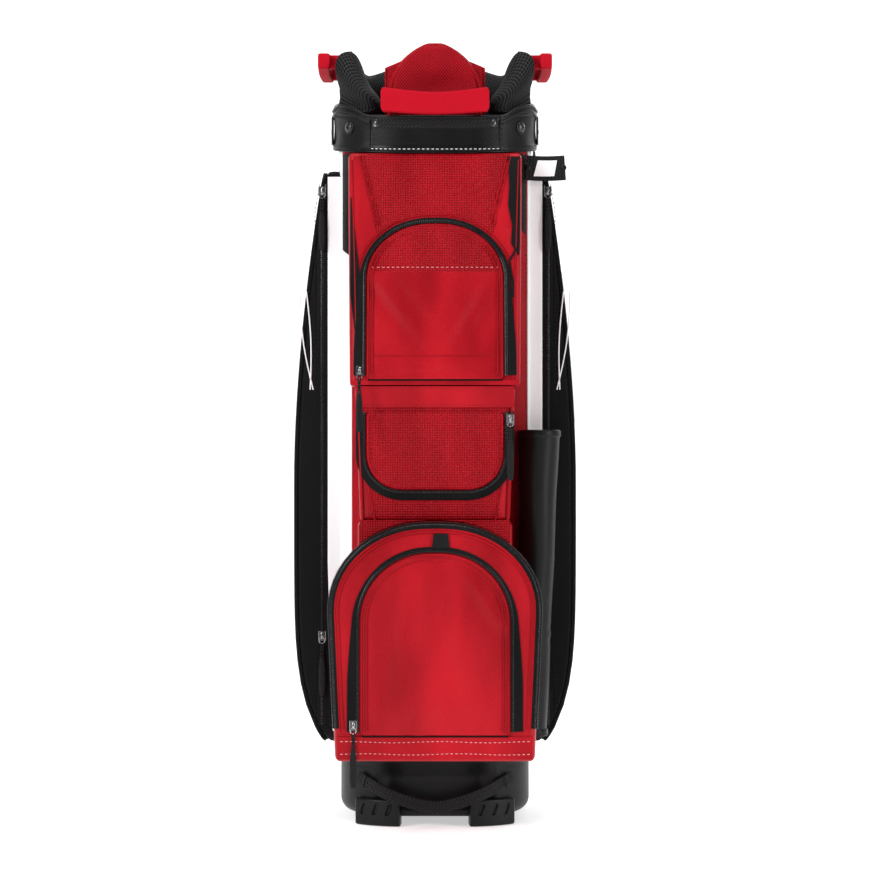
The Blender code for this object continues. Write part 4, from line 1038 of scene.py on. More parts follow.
def rivet(place, z, radius):
    """A screw rivet: a domed head with a star shaped socket."""
    x, y = around(place, 0.0050)
    out = outward(np.array([place]))[0]
    centre = np.array([x, y, z])
    share = np.linspace(0, 1, 9)
    radii = radius * np.cos(share * 1.15)
    depths = 0.0004 + 0.0030 * np.sin(share * 1.15)
    head = disc(centre, out, [radius, *radii, radius * 0.36], [-0.001, *depths, depths[-1] + 0.0002], "coil")
    base = disc(centre, out, [radius * 1.3, radius * 1.3, radius * 1.18], [-0.001, 0.0007, 0.0012], "vinyl")
    sizes_in = [radius * 0.34, radius * 0.34, radius * 0.25]
    socket = disc(centre, out, sizes_in, [0.0020, 0.00345, 0.00350], "metal", 6, 0.16)
    hollow = disc(centre, out, [radius * 0.22, radius * 0.22], [0.0030, 0.0038], "plastic", 6, 0.2)
    return [base, head, socket, hollow]


def snap(place, z, radius):
    """A snap stud: a flat ring with a raised button."""
    x, y = around(place, 0.0058)
    out = outward(np.array([place]))[0]
    centre = np.array([x, y, z])
    plate = disc(centre, out, [radius, radius, radius * 0.85, radius * 0.6], [-0.001, 0.0008, 0.0013, 0.0010], "coil")
    button = disc(centre, out, [radius * 0.5, radius * 0.5, radius * 0.3], [0.0008, 0.0022, 0.0027], "metal")
    return [plate, button]


def side_tab(place):
    """A short strap end on the side of the collar, with a plated bar."""
    out = outward(np.array([place]))[0]
    path = upright(place, 0.0068, np.linspace(0.792, 0.824, 24))
    tab = ribbon(path, out, rounded(0.016, 0.0026, 0.4, 20), "vinyl")
    bar = ribbon(path[9:13] + out * 0.0012, out, rounded(0.012, 0.0016, 0.5, 12), "bright")
    return [tab, bar]


def rim_top(place, y):
    """Height of the rim pad: lowest beside the front handle, higher at the sides and the rear,
    with a dip at each rear corner and lobes beside the side handles."""
    turn = np.minimum(place, ROUND - place)
    side = ease(0.842, 0.899, (turn - 2.5) / 3.8)
    rear = ease(0.0, 0.008, turn / 4 - 3)
    return side + rear + -0.008 * bell(turn, 12.0, 1.5) + 0.003 * bell(turn, 5.6, 0.8)


class BAG_OT_rim(Maker, bpy.types.Operator):
    """Make the puffed spacer mesh rim and the bell shaped mesh dome at its front"""

    bl_idname = "bag.rim"
    bl_label = "Rim pad and dome"

    def execute(self, context):
        place = np.linspace(RIM_START, RIM_STOP, 260)
        from_handle = np.abs(np.mod(place + 4, 8) - 4)
        behind = (place > 4) & (place < 28)
        setback = np.where(behind, ease(1.0, 0.0, (from_handle - 1.85) / 0.55), 0.0)
        outer = lerp(0.0085, -0.0012, setback)
        x, y = around(place, 0.0)
        low, high = collar_high(y) + 0.0006, rim_top(place, y)
        end = np.minimum(place - RIM_START, RIM_STOP - place) * PLACE_ARC
        shrink = quarter(np.clip(end / 0.012, 0.02, 1))
        angle = full_turn(56)
        ring_x = np.sign(np.cos(angle)) * np.abs(np.cos(angle)) ** 0.62
        ring_z = np.sign(np.sin(angle)) * np.abs(np.sin(angle)) ** 0.55
        middle, half = (outer - 0.030) / 2, (outer + 0.030) / 2 * shrink
        quilt = 1 + 0.05 * np.cos(place * 2.4)[:, None] * np.maximum(ring_z, 0)[None]
        waist = 0.0065 * bell(ring_z, -0.35, 0.42)[None] * (ring_x > 0)[None] * (1 - setback)[:, None]
        offset = middle[:, None] + half[:, None] * ring_x * quilt - waist
        offset = offset + 0.008 * (np.maximum(ring_z, 0) * (ring_x < 0))[None]
        centre, tall = (low + high) / 2, (high - low) / 2 * shrink
        z = centre[:, None] + tall[:, None] * ring_z
        px, py = around(place[:, None], offset)
        pad = loft(np.stack([px, py, z], -1), "mesh")
        ring = int(round((math.asin(-0.62) % (2 * math.pi)) / (2 * math.pi) * 56))
        path = np.stack([px[4:-4, ring], py[4:-4, ring], z[4:-4, ring]], -1)
        parts = [pad, pipe(path, 0.0013, "vinyl", outward(place[4:-4]))]
        piece("rim_pad_mesh", "root", parts, ["rim_pad"])
        z = np.concatenate([np.linspace(0.790, 0.845, 26)[:-1], 0.845 + 0.060 * np.sin(np.linspace(0, np.pi / 2, 34))])
        rise = np.clip((z - 0.845) / 0.060, 0, 1)
        arch = 0.056 * np.maximum(1 - rise**1.9, 0.0006) ** 0.6

        def front(x, level):
            hollow = 0.011 * np.exp(-((x - 0.004) / 0.030) ** 2 - ((level - 0.852) / 0.016) ** 2)
            crown = 0.005 * (1 - (x / 0.058) ** 2)
            soft = folds(x, level, [(0.03, 0.868, 1.9, 0.024, 0.02, 0.010, 0.0006)])
            return 0.0700 + crown - hollow + soft

        dome = slab((z, arch), steady(0.0485), front, "red_mesh", 0.010, 80)
        edge = arch_path(z, arch * 0.93, 0.80)
        path = np.stack([edge[:, 0], -0.0690 - 0.002 * (1 - (edge[:, 0] / 0.056) ** 2), edge[:, 1] - 0.0040], -1)
        parts = [dome, pipe(path, 0.0011, "red", (0, -1, 0), count=CORD_SIDES)]
        for side in (-1, 1):
            across = np.linspace(0.030, 0.0575, 30)
            end = np.clip((0.0575 - across) / 0.004, 0, 1)
            top = 0.888 - 0.42 * (across - 0.030) - 0.004 * (1 - quarter(end))
            profile = rounded(1.0, 1.0, 0.35, 40)
            y = -0.052 + 0.012 * profile[None, :, 0] * (0.5 + 0.5 * end[:, None])
            level = (0.800 + top)[:, None] / 2 + (top - 0.800)[:, None] * profile[None, :, 1]
            parts.append(loft(np.stack([side * across[:, None] + 0 * y, y, level], -1), "red_mesh"))
            rim = np.stack([side * np.full(20, 0.0570), np.full(20, -0.0565), np.linspace(0.805, 0.876, 20)], -1)
            parts.append(pipe(rim, 0.0012, "red", (0, -1, 0), count=CORD_SIDES))
        piece("front_dome_mesh", "root", parts, ["front_mesh_dome"])
        return {"FINISHED"}


class BAG_OT_handles(Maker, bpy.types.Operator):
    """Make the four moulded lift handles, each a soft bar on two legs, with black wraps on the front handle and red
    ones on the others
    """

    bl_idname = "bag.handles"
    bl_label = "Lift handles"

    def execute(self, context):
        handles = (("front", 0, 0.0045), ("right", 1, 0.002), ("rear", 2, 0.003), ("left", 3, 0.002))
        for name, turn, sag in handles:
            low, high = box(f"{name}_lift_handle")
            middle, tall = (low[2] + high[2]) / 2, high[2] - low[2]
            tall *= 1.0 if name == "front" else 0.66
            share = np.sin(np.linspace(-np.pi / 2, np.pi / 2, 90))
            u = share * 0.062
            end = np.sqrt(1 - np.clip((np.abs(u) - 0.0585) / 0.0035, 0, 1) ** 2 * 0.60)
            profile = rounded(0.0142, tall, 0.32, 40)
            bow = 0.0012 * (1 - share**2)
            v = 0.130 + bow[:, None] + profile[None, :, 0] * lerp(0.75, 1.0, end)[:, None]
            drop = -sag * (1 - share**2) ** 1.4
            narrow = 1 - 0.10 * (1 - share**2)
            z = middle + drop[:, None] + profile[None, :, 1] * (end * narrow)[:, None]
            parts = [loft(np.stack([u[:, None] + 0 * v, -v, z], -1), "red_moulded")]
            leg_finish = "plastic" if name == "front" else "red_moulded"
            for side in (-1, 1):
                legs = ((np.linspace(0.1026, 0.1245, 10), 0.049, 0.86, 0.0098),
                        (np.linspace(0.1232, 0.1242, 3), 0.0488, 0.95, 0.0135))
                for reach, apart, share_tall, thick in legs:
                    path = np.stack([0 * reach + side * apart, -reach, middle + 0 * reach], -1)
                    parts.append(ribbon(path, (1, 0, 0), rounded(tall * share_tall, thick, 0.5, 24), leg_finish))
            for part in parts:
                x, y = part.points[:, 0].copy(), part.points[:, 1].copy()
                c, s = round(math.cos(turn * math.pi / 2)), round(math.sin(turn * math.pi / 2))
                part.points[:, 0] = x * c - y * s
                part.points[:, 1] = x * s + y * c + TUBE_Y
            piece(f"{name}_handle_moulding", "root", parts, [f"{name}_lift_handle"])
        return {"FINISHED"}


class BAG_OT_dividers(Maker, bpy.types.Operator):
    """Make the lined club dividers, each with a padded binding along its top"""

    bl_idname = "bag.dividers"
    bl_label = "Club dividers"

    def execute(self, context):
        names = [f"cross_divider_{n}" for n in (1, 2, 3)]
        counts = ((1, 2), (2, 3), (3, 3), (4, 2))
        names += [f"row_{row}_divider_{n}" for row, count in counts for n in range(1, count + 1)]
        for name in names:
            low, high = box(name)
            long_way = 0 if name.startswith("cross") else 1
            thin = 1 - long_way
            run = np.linspace(low[long_way], high[long_way], 40)
            across = (low[thin] + high[thin]) / 2
            y = run if long_way else np.full(40, across)
            top = np.minimum(collar_high(y) - 0.020, high[2])
            centre = np.zeros((40, 3))
            centre[:, long_way], centre[:, thin] = run, across
            wave = 0.0004 * np.sin(run * 90)
            levels = np.linspace(0, 1, 14)
            sheet = []
            for side, share in [(-1, part) for part in levels] + [(1, part) for part in levels[::-1]]:
                point = centre.copy()
                point[:, thin] += side * 0.0009 + wave * share
                point[:, 2] = lerp(low[2] + 0.0003, top - 0.002, share)
                sheet.append(point)
            wall = loft(np.stack(sheet, 1), "lining")
            path = centre.copy()
            path[:, 2] = top - 0.0036
            path[:, thin] += wave
            side_way = np.zeros(3)
            side_way[thin] = 1.0
            binding = ribbon(path[1:-1], side_way, rounded(0.0072, 0.0046, 0.75, 14), "mesh")
            piece(name + "_lined", "root", [wall, binding], [name])
        return {"FINISHED"}


def cup_side(place, z):
    """Offset of the base cup: drawn in as a quarter circle at its bottom, and pushed in behind the
    grab handle by an eased hollow."""
    from_bottom = np.clip((z - 0.009) / 0.016, 0, 1)
    rounding = 0.016 * (1 - quarter(from_bottom))
    turn = np.minimum(np.mod(place, ROUND), ROUND - np.mod(place, ROUND))
    across = ease(1.0, 0.0, turn - 2.0)
    upright = ease(1.0, 0.0, 2.4 * np.abs(z - 0.042) / 0.066 - 0.4)
    return -SKIN - GAP - rounding - 0.014 * across * upright


class BAG_OT_base(Maker, bpy.types.Operator):
    """Make the moulded base cup, the rubber feet and the sagging grab handle"""

    bl_idname = "bag.base"
    bl_label = "Base"

    def execute(self, context):
        place = np.linspace(0, ROUND, 241)[:-1]
        curved = 0.009 + 0.016 * (1 - np.cos(np.linspace(0, np.pi / 2, 10)))
        rings = []
        for z in np.concatenate([curved, np.linspace(0.025, 0.100, 34)[1:]]):
            x, y = around(place, cup_side(place, z) - 0.0004 * bell(z, 0.068, 0.0016))
            rings.append(np.stack([x, y, 0 * x + z], -1))
        for z in (0.0996, 0.07, 0.045, 0.025, 0.0135):
            x, y = around(place, cup_side(place, max(z, 0.018)) - 0.004)
            rings.append(np.stack([x, y, 0 * x + z], -1))
        piece("base_cup_moulding", "root", [loft(np.array(rings), "plastic")], ["base_cup"])
        feet = (("front_right", 1.3, 4.0), ("rear_right", 12.0, 14.7), ("rear_left", 17.3, 20.0),
                ("front_left", 28.0, 30.7))
        for name, start, stop in feet:
            self.foot(name, start, stop)
        share = np.linspace(-1, 1, 90)
        x = 0.088 * share
        past = np.maximum(np.abs(x) - TUBE_FLAT, 0)
        offset = ease(0.010, 0.0, 2 * np.abs(share) - 1)
        depth = TUBE_FLAT - TUBE_Y + np.sqrt((TUBE_CORNER + offset) ** 2 - past**2)
        top = 0.061 - 0.030 * (1 - np.abs(share) ** 1.5)
        path = np.stack([x, -depth, top - 0.007], -1)
        out = unit(np.stack([past * np.sign(x) / 0.08, -np.sqrt(1 - (past / 0.08) ** 2), 0 * x], -1))
        parts = [ribbon(path, out, rounded(0.0142, 0.0030, 0.4, 20), "webbing")]
        for side in (-1, 1):
            end, sewn = share * side > 0.90, share * side > 0.88
            parts.append(ribbon(path[end] + out[end] * 0.0011, out[end], rounded(0.0150, 0.0024, 0.5, 16), "webbing"))
            parts.append(stitches((path + out * 0.0022)[sewn], out[sewn], "black_thread", 0.0004))
        piece("grab_strap_webbing", "grab_handle", parts, ["base_grab_handle"])
        return {"FINISHED"}

    def foot(self, name, start, stop):
        """One rubber foot: a rounded block along the tube, with three oval slots pressed in."""
        place = np.linspace(start, stop, 130)[:, None]
        arc = (place - start) * PLACE_ARC
        long = (stop - start) * PLACE_ARC
        z = 0.0309 * np.linspace(0, 1, 44)[None, :]
        end = np.clip(np.minimum(arc, long - arc) / 0.004, 0, 1)
        edge = np.clip(np.minimum(z, 0.031 - z) / 0.003, 0, 1)
        draw = 0.003 * (1 - quarter(end)) + 0.0025 * (1 - quarter(edge))
        slots = 0.0
        for number in range(3):
            middle = long * (number + 0.8) / 3.6 + (z - 0.019) * 0.35
            off = np.hypot(arc - middle, np.maximum(np.abs(z - 0.0190) - 0.0042, 0))
            slots = slots + ease(1.0, 0.0, (off - 0.0012) / 0.0014)
        walls = []
        for offset, level in (
            (0.0042 - draw - 0.0026 * slots, z),
            (np.array([[0.0, -0.0025]]), np.array([[0.0308, 0.0285]])),
            (np.full((1, 6), -0.020), np.linspace(0.0085, 0.0005, 6)[None, :]),
        ):
            x, y = around(place, offset)
            walls.append(np.stack([x, y, np.broadcast_to(level, x.shape)], -1))
        piece(f"{name}_foot_rubber", "root", [loft(np.concatenate(walls, 1), "plastic")], [f"{name}_foot"])


def bent_line(points):
    """A straight or bent line through a few points, as forty points of an outline."""
    points = np.asarray(points, float)
    walked = np.concatenate([[0], np.cumsum(np.linalg.norm(np.diff(points, axis=0), axis=1))])
    at = np.linspace(0, walked[-1], 40)
    return np.stack([np.interp(at, walked, points[:, 0]), np.interp(at, walked, points[:, 1])], -1)


def covering(flat, face, finish, thick, lift):
    """A closed sheet on a face, from rows of points: its front, then its back."""
    front, _ = on_face(flat.reshape(-1, 2), face, lift + thick)
    rear, _ = on_face(flat.reshape(-1, 2), face, lift)
    size = (*flat.shape[:2], 3)
    return loft(np.concatenate([front.reshape(size), rear.reshape(size)[:, ::-1]], 1), finish, flat=True)


def patch(corners, face, finish, thick=0.0012, lift=0.0, count=12):
    """A flat patch between a left and a right edge, each given by its ends from bottom to top."""
    (left_low, right_low), (left_high, right_high) = np.asarray(corners, float)
    share = np.linspace(0, 1, count)[:, None]
    left, right = lerp(left_low, left_high, share), lerp(right_low, right_high, share)
    flat = left[:, None] + (right - left)[:, None] * np.linspace(0, 1, 10)[None, :, None]
    return covering(flat, face, finish, thick, lift)


def shaped_patch(levels, left, right, face, finish, thick=0.0012, steps=40):
    """A patch whose left and right edges run through given places at given heights."""
    z = np.linspace(levels[0], levels[-1], steps)
    left, right = np.interp(z, levels, left)[:, None], np.interp(z, levels, right)[:, None]
    flat = np.stack([lerp(left, right, np.linspace(0, 1, 10)), np.repeat(z[:, None], 10, 1)], -1)
    return covering(flat, face, finish, thick, 0.0)


def zip_track(flat, face, narrow, wide, side=1.0, low=None, high=None, lift=0.0002):
    """A zip's tape and coil along the outside of an outline: the tape grows from narrow to wide
    going down between two heights, and the coil runs at its inner edge."""
    path, normal = on_face(flat, face)
    _, across, _ = frames(path, normal)
    z = flat[:, 1]
    width = np.full(len(z), narrow) if low is None else ease(wide, narrow, (z - low) / (high - low))
    inner = side * ZIP_GAP
    middle = path + across * (inner + side * width / 2)[:, None] + normal * lift
    tape = ribbon(middle, normal, rounded(1.0, 0.0014, 0.25, 16), "tape", wide=width)
    coil = path + across * (inner + side * ZIP_TEETH * 0.5) + normal * (lift + 0.0007)
    return [tape, teeth(coil, normal, ZIP_TEETH, 0.0005)]


class BAG_OT_upper_pocket(Maker, bpy.types.Operator):
    """Make the wedge shaped upper pocket, its arched zip and its embossed flap"""

    bl_idname = "bag.upper_pocket"
    bl_label = "Upper pocket"

    def execute(self, context):
        depth, puff = sizes().fold_depth, sizes().puff
        waves = [
            (-0.0885, 0.70, 1.45, 0.014, 0.06, 0.006, depth * 0.3),
            (0.0885, 0.66, 1.7, 0.016, 0.07, 0.007, depth * 0.3),
            (0.045, 0.735, 2.25, 0.02, 0.05, 0.012, depth), (0.02, 0.745, 2.25, 0.02, 0.04, 0.012, depth * 0.8),
            (-0.05, 0.74, 0.7, 0.022, 0.03, 0.01, depth * 0.4),
        ]
        body = pouch(rows(**UPPER), grown(UPPER_FLAP, -0.004), tube_depth, upper_face, "gloss",
                     bulge=lambda x, z: folds(x, z, waves))
        with_second(body, "diamond",
                    lambda x, y, z: (np.abs(x) < 0.0675 + (z - 0.69) * 0.23) & (z > 0.675) & (y < -0.088))
        track = arch_path(*grown(UPPER_FLAP, 0.0005), start=0.517)
        parts = [body, *zip_track(track, upper_face, 0.0062, 0.0135, -1.0, 0.53, 0.66, lift=0.0011)]
        for by, radius in ((0.0080, 0.0010), (0.0115, 0.0008)):
            parts.append(cord_on(arch_path(*grown(UPPER_FLAP, by), start=0.640), upper_face, 0.0004, radius))
        for side in (-1, 1):
            for near in (0.0, 0.0045):
                line = bent_line([(side * (0.087 - near), 0.770), (side * (0.0675 - near), 0.690)])
                parts.append(cord_on(line, upper_face, 0.0004, 0.0009))
            line = bent_line([(side * 0.0885, 0.512), (side * 0.0915, 0.640), (side * 0.0955, 0.765)])
            parts.append(cord_on(line, upper_face, 0.0, 0.0013))
        loop = bent_line([(0.0940, 0.664), (0.0845, 0.648), (0.0868, 0.634), (0.0890, 0.620), (0.0885, 0.606)])
        parts += [
            shaped_patch([0.570, 0.609, 0.627, 0.722], [-0.0915, -0.0962, -0.0965, -0.0968],
                         [-0.0885, -0.0868, -0.0850, -0.0960], upper_face, "grain"),
            shaped_patch([0.655, 0.668, 0.690, 0.712, 0.735, 0.769], [0.0945, 0.0865, 0.0880, 0.0835, 0.0850, 0.0838],
                         [0.0960, 0.0968, 0.0970, 0.0972, 0.0974, 0.0975], upper_face, "vinyl"),
            cord_on(loop, upper_face, 0.0006, 0.0013, "vinyl"),
            patch([((-0.0955, 0.5062), (0.0955, 0.5062)), ((-0.0950, 0.5118), (0.0950, 0.5118))], upper_face, "red",
                  0.0014),
            cord_on(bent_line([(-0.0755, 0.5119), (0.0755, 0.5119)]), upper_face, 0.0020, 0.0009, "black"),
        ]
        piece("upper_pocket_sewn", "root", parts, ["upper_pocket_body"])
        flap_folds = [
            (-0.045, 0.60, 2.25, 0.030, 0.05, 0.020, depth * 0.8),
            (0.045, 0.590, 1.05, 0.034, 0.05, 0.022, depth * 0.7),
            (0.0, 0.528, 0.1, 0.014, 0.06, 0.008, depth * 0.6), (0.02, 0.660, 0.35, 0.026, 0.05, 0.012, depth * 0.8),
            (-0.03, 0.668, 2.8, 0.022, 0.04, 0.010, depth * 0.6),
        ]

        def front(x, z):
            crown = puff * (1 - (x / 0.080) ** 2) * np.clip((z - 0.5125) / 0.02, 0, 1)
            seam = -0.0007 * (bell(z, 0.638, 0.0012) + bell(z, 0.538, 0.0012))
            return upper_face(z) + FLAP_THICK + crown + folds(x, z, flap_folds) + seam

        def level_line(half, z):
            x = np.linspace(-half, half, 60)
            return np.stack([x, -front(x, z + 0 * x), z + 0 * x], -1)

        flap = slab(rows(**UPPER_FLAP), lambda z: upper_face(z) + GAP, front, "gloss", 0.0022, 110)
        trim = [with_second(flap, "diamond", lambda x, y, z: z > 0.639),
                pipe(level_line(0.0705, 0.5395), 0.0007, "red", (0, -1, 0.17), count=CORD_SIDES)]
        for by, radius, lift in ((-0.0012, 0.0013, 0.0034), (-0.0062, 0.0010, 0.0044)):
            trim.append(cord_on(arch_path(*grown(UPPER_FLAP, by), start=0.515), upper_face, lift, radius))
        trim.append(stitches_on(arch_path(*grown(UPPER_FLAP, -0.0035), start=0.516), upper_face, 0.0042))
        trim.append(stitches(level_line(0.070, 0.6405), (0, -1, 0.17), "pink_thread"))
        piece("upper_flap_sewn", "upper_flap", trim, ["upper_pocket_flap"])
        return {"FINISHED"}


class BAG_OT_middle_pocket(Maker, bpy.types.Operator):
    """Make the middle pocket, its stitched band, its U shaped zip and its flap"""

    bl_idname = "bag.middle_pocket"
    bl_label = "Middle pocket"

    def execute(self, context):
        depth, puff = sizes().fold_depth, sizes().puff
        body = pouch(rows(**{**MIDDLE, "half_low": 0.0845}), grown(MIDDLE_FLAP, -0.004), tube_depth, middle_face,
                     "gloss", edge=0.009)
        with_second(body, "diamond", lambda x, y, z: (np.abs(x) < 0.070 + (z - 0.36) * 0.12) & (y < -0.120))
        parts = [body]
        for side in (-1, 1):
            line = bent_line([(side * 0.068, 0.353), (side * 0.0755, 0.392)])
            parts.append(cord_on(line, middle_face, 0.0003, 0.0009))
        arch_z, arch_half = grown(BALL, 0.0025)
        level = np.linspace(0.327, 0.3535, 30)
        inside = np.minimum(np.interp(level, arch_z, arch_half), 0.0840)
        inside[level > arch_z[-1]] = 0.0
        back = 0.1195
        shelf = float(middle_face(np.array([0.3535]))[0]) - back
        for side in (-1, 1):
            edges = sorted((0.0848 * np.ones(30) * side, inside * side), key=lambda line: line[0])
            parts.append(shaped_patch(level, *edges, steady(back), "diamond", shelf))
        parts += zip_track(cup_path(*grown(MIDDLE_FLAP, 0.0005), stop=0.474), middle_face, 0.0110, 0.0110, lift=0.0006)
        parts.append(patch([((-0.0895, 0.4815), (0.0895, 0.4815)), ((-0.0895, 0.5050), (0.0895, 0.5050))],
                           middle_face, "gloss", 0.0018, 0, 16))
        for z in (0.4838, 0.5028):
            parts.append(stitches_on(bent_line([(-0.087, z), (0.087, z)]), middle_face, 0.0020))
        for side in (-1, 1):
            line = bent_line([(side * 0.0825, 0.354), (side * 0.0880, 0.503)])
            parts.append(cord_on(line, middle_face, 0.0, 0.0015))
        piece("middle_pocket_sewn", "root", parts, ["middle_pocket_body"])
        flap_folds = [(-0.04, 0.43, 1.0, 0.026, 0.04, 0.012, depth * 0.8),
                      (0.05, 0.42, 2.0, 0.026, 0.04, 0.012, depth * 0.8)]

        def front(x, z):
            crown = puff * (1 - (x / 0.080) ** 2) * np.clip((0.476 - z) / 0.02, 0, 1)
            return middle_face(z) + FLAP_THICK + crown + folds(x, z, flap_folds)

        trim = [
            slab(rows(**MIDDLE_FLAP), lambda z: middle_face(z) + GAP, front, "diamond", 0.0022, 90),
            cord_on(cup_path(*grown(MIDDLE_FLAP, -0.0012), stop=0.474), middle_face, 0.0034, 0.0012),
            stitches_on(cup_path(*grown(MIDDLE_FLAP, -0.0042), stop=0.472), middle_face, 0.0042),
        ]
        piece("middle_flap_sewn", "middle_flap", trim, ["middle_pocket_flap"])
        return {"FINISHED"}


class BAG_OT_ball_pocket(Maker, bpy.types.Operator):
    """Make the ball pocket: its rear compartment, the one that tips open, and its front panel"""

    bl_idname = "bag.ball_pocket"
    bl_label = "Ball pocket"

    def execute(self, context):
        depth, puff = sizes().fold_depth, sizes().puff
        square = {**BALL_REAR, "high": SMALL_CORNER}
        rear = pouch(grown(square, -0.001), grown(BALL_REAR, -0.008), tube_depth, steady(0.1193), "gloss", edge=0.003)
        binding = cord_on(arch_path(*grown(BALL_REAR, -0.0015), start=0.10), steady(0.1185), 0.0, 0.0009, "vinyl")
        piece("ball_rear_sewn", "root", [rear, binding], ["ball_pocket_body"])
        waves = [(-0.103, 0.20, 1.5, 0.02, 0.05, 0.006, depth * 0.3),
                 (0.104, 0.22, 1.65, 0.02, 0.05, 0.006, depth * 0.3)]
        body = pouch(rows(**BALL), grown(BALL_PANEL, -0.004), steady(0.1200), ball_face, "gloss", edge=0.009,
                     bulge=lambda x, z: 0.0003 + folds(x, z, waves))
        wall = slab(grown(BALL, -0.004), steady(0.1201), lambda x, z: 0.1222 + 0 * x, "black", 0.001, 30)
        path, normal = on_face(arch_path(*grown(BALL, 0.0), start=0.118), lambda z: ball_face(z) - 0.0090)
        _, across, _ = frames(path, normal)
        outer = path - across * 0.0004
        parts = [body, wall, ribbon(outer, -across, rounded(0.0085, 0.0016, 0.4, 14), "tape"),
                 teeth(outer - across * 0.0010, -across, 0.0036, 0.0002)]
        for by, radius, lift in ((-0.0068, 0.0011, -0.0004), (-0.0105, 0.0008, 0.0006)):
            parts.append(cord_on(arch_path(*grown(BALL, by), start=0.118), ball_face, lift, radius))
        path, normal = on_face(arch_path(*grown(BALL, -0.0024), start=0.118), ball_face, -0.0036)
        _, across, _ = frames(path, normal)
        slanted = unit(normal - across * 0.8)
        parts.append(ribbon(path, slanted, rounded(0.0088, 0.0020, 0.4, 14), "tape"))
        parts.append(teeth(path + slanted * 0.0010, slanted, 0.0036, 0.0003))
        track = arch_path(*grown(BALL_PANEL, 0.0005), start=0.119)
        parts += zip_track(track, ball_face, 0.0062, 0.0135, -1.0, 0.16, 0.29, lift=0.0008)
        parts.append(patch([((-0.1085, 0.0890), (0.1085, 0.0890)), ((-0.1095, 0.1135), (0.1095, 0.1135))], ball_face,
                           "gloss", 0.0022, 0.0, 16))
        for z, phase in ((0.0945, 0.0), (0.1080, 1.2)):
            x = np.linspace(-0.104, 0.104, 80)
            wavy = np.stack([x, z + 0.0007 * np.sin(x * 60 + phase)], -1)
            parts.append(stitches_on(wavy, ball_face, 0.0024, "pink_thread"))
        parts.append(cord_on(bent_line([(-0.0815, 0.1141), (0.0815, 0.1141)]), ball_face, 0.0028, 0.0009, "black"))
        parts.append(patch([((-0.0035, 0.3235), (0.0165, 0.3235)), ((-0.0015, 0.3395), (0.0145, 0.3395))], ball_face,
                           "vinyl", 0.0020, 0.0006))
        piece("ball_front_sewn", "ball_compartment", parts, ["ball_pocket_front"])
        panel_folds = [
            (-0.035, 0.20, 1.50, 0.050, 0.07, 0.024, depth * 0.8), (0.035, 0.19, 1.70, 0.045, 0.06, 0.022, depth * 0.8),
            (-0.01, 0.135, 1.2, 0.03, 0.03, 0.015, depth * 0.7), (0.06, 0.26, 2.2, 0.03, 0.05, 0.016, depth * 0.6),
        ]

        def front(x, z):
            rise = np.clip((z - 0.1145) / 0.03, 0, 1)
            crown = 1.4 * puff * (1 - (x / 0.086) ** 2) * rise * np.clip((0.317 - z) / 0.03, 0, 1) ** 0.5
            return ball_face(z) + FLAP_THICK + crown + folds(x, z, panel_folds)

        trim = [slab(rows(**BALL_PANEL), lambda z: ball_face(z) + GAP, front, "gloss", 0.0024, 110)]
        for by, radius, lift in ((-0.0012, 0.0013, 0.0034), (-0.0068, 0.0009, 0.0046)):
            trim.append(cord_on(arch_path(*grown(BALL_PANEL, by), start=0.117), ball_face, lift, radius))
        trim.append(stitches_on(arch_path(*grown(BALL_PANEL, -0.0038), start=0.118), ball_face, 0.0044))
        piece("ball_panel_sewn", "ball_panel", trim, ["ball_pocket_panel"])
        return {"FINISHED"}


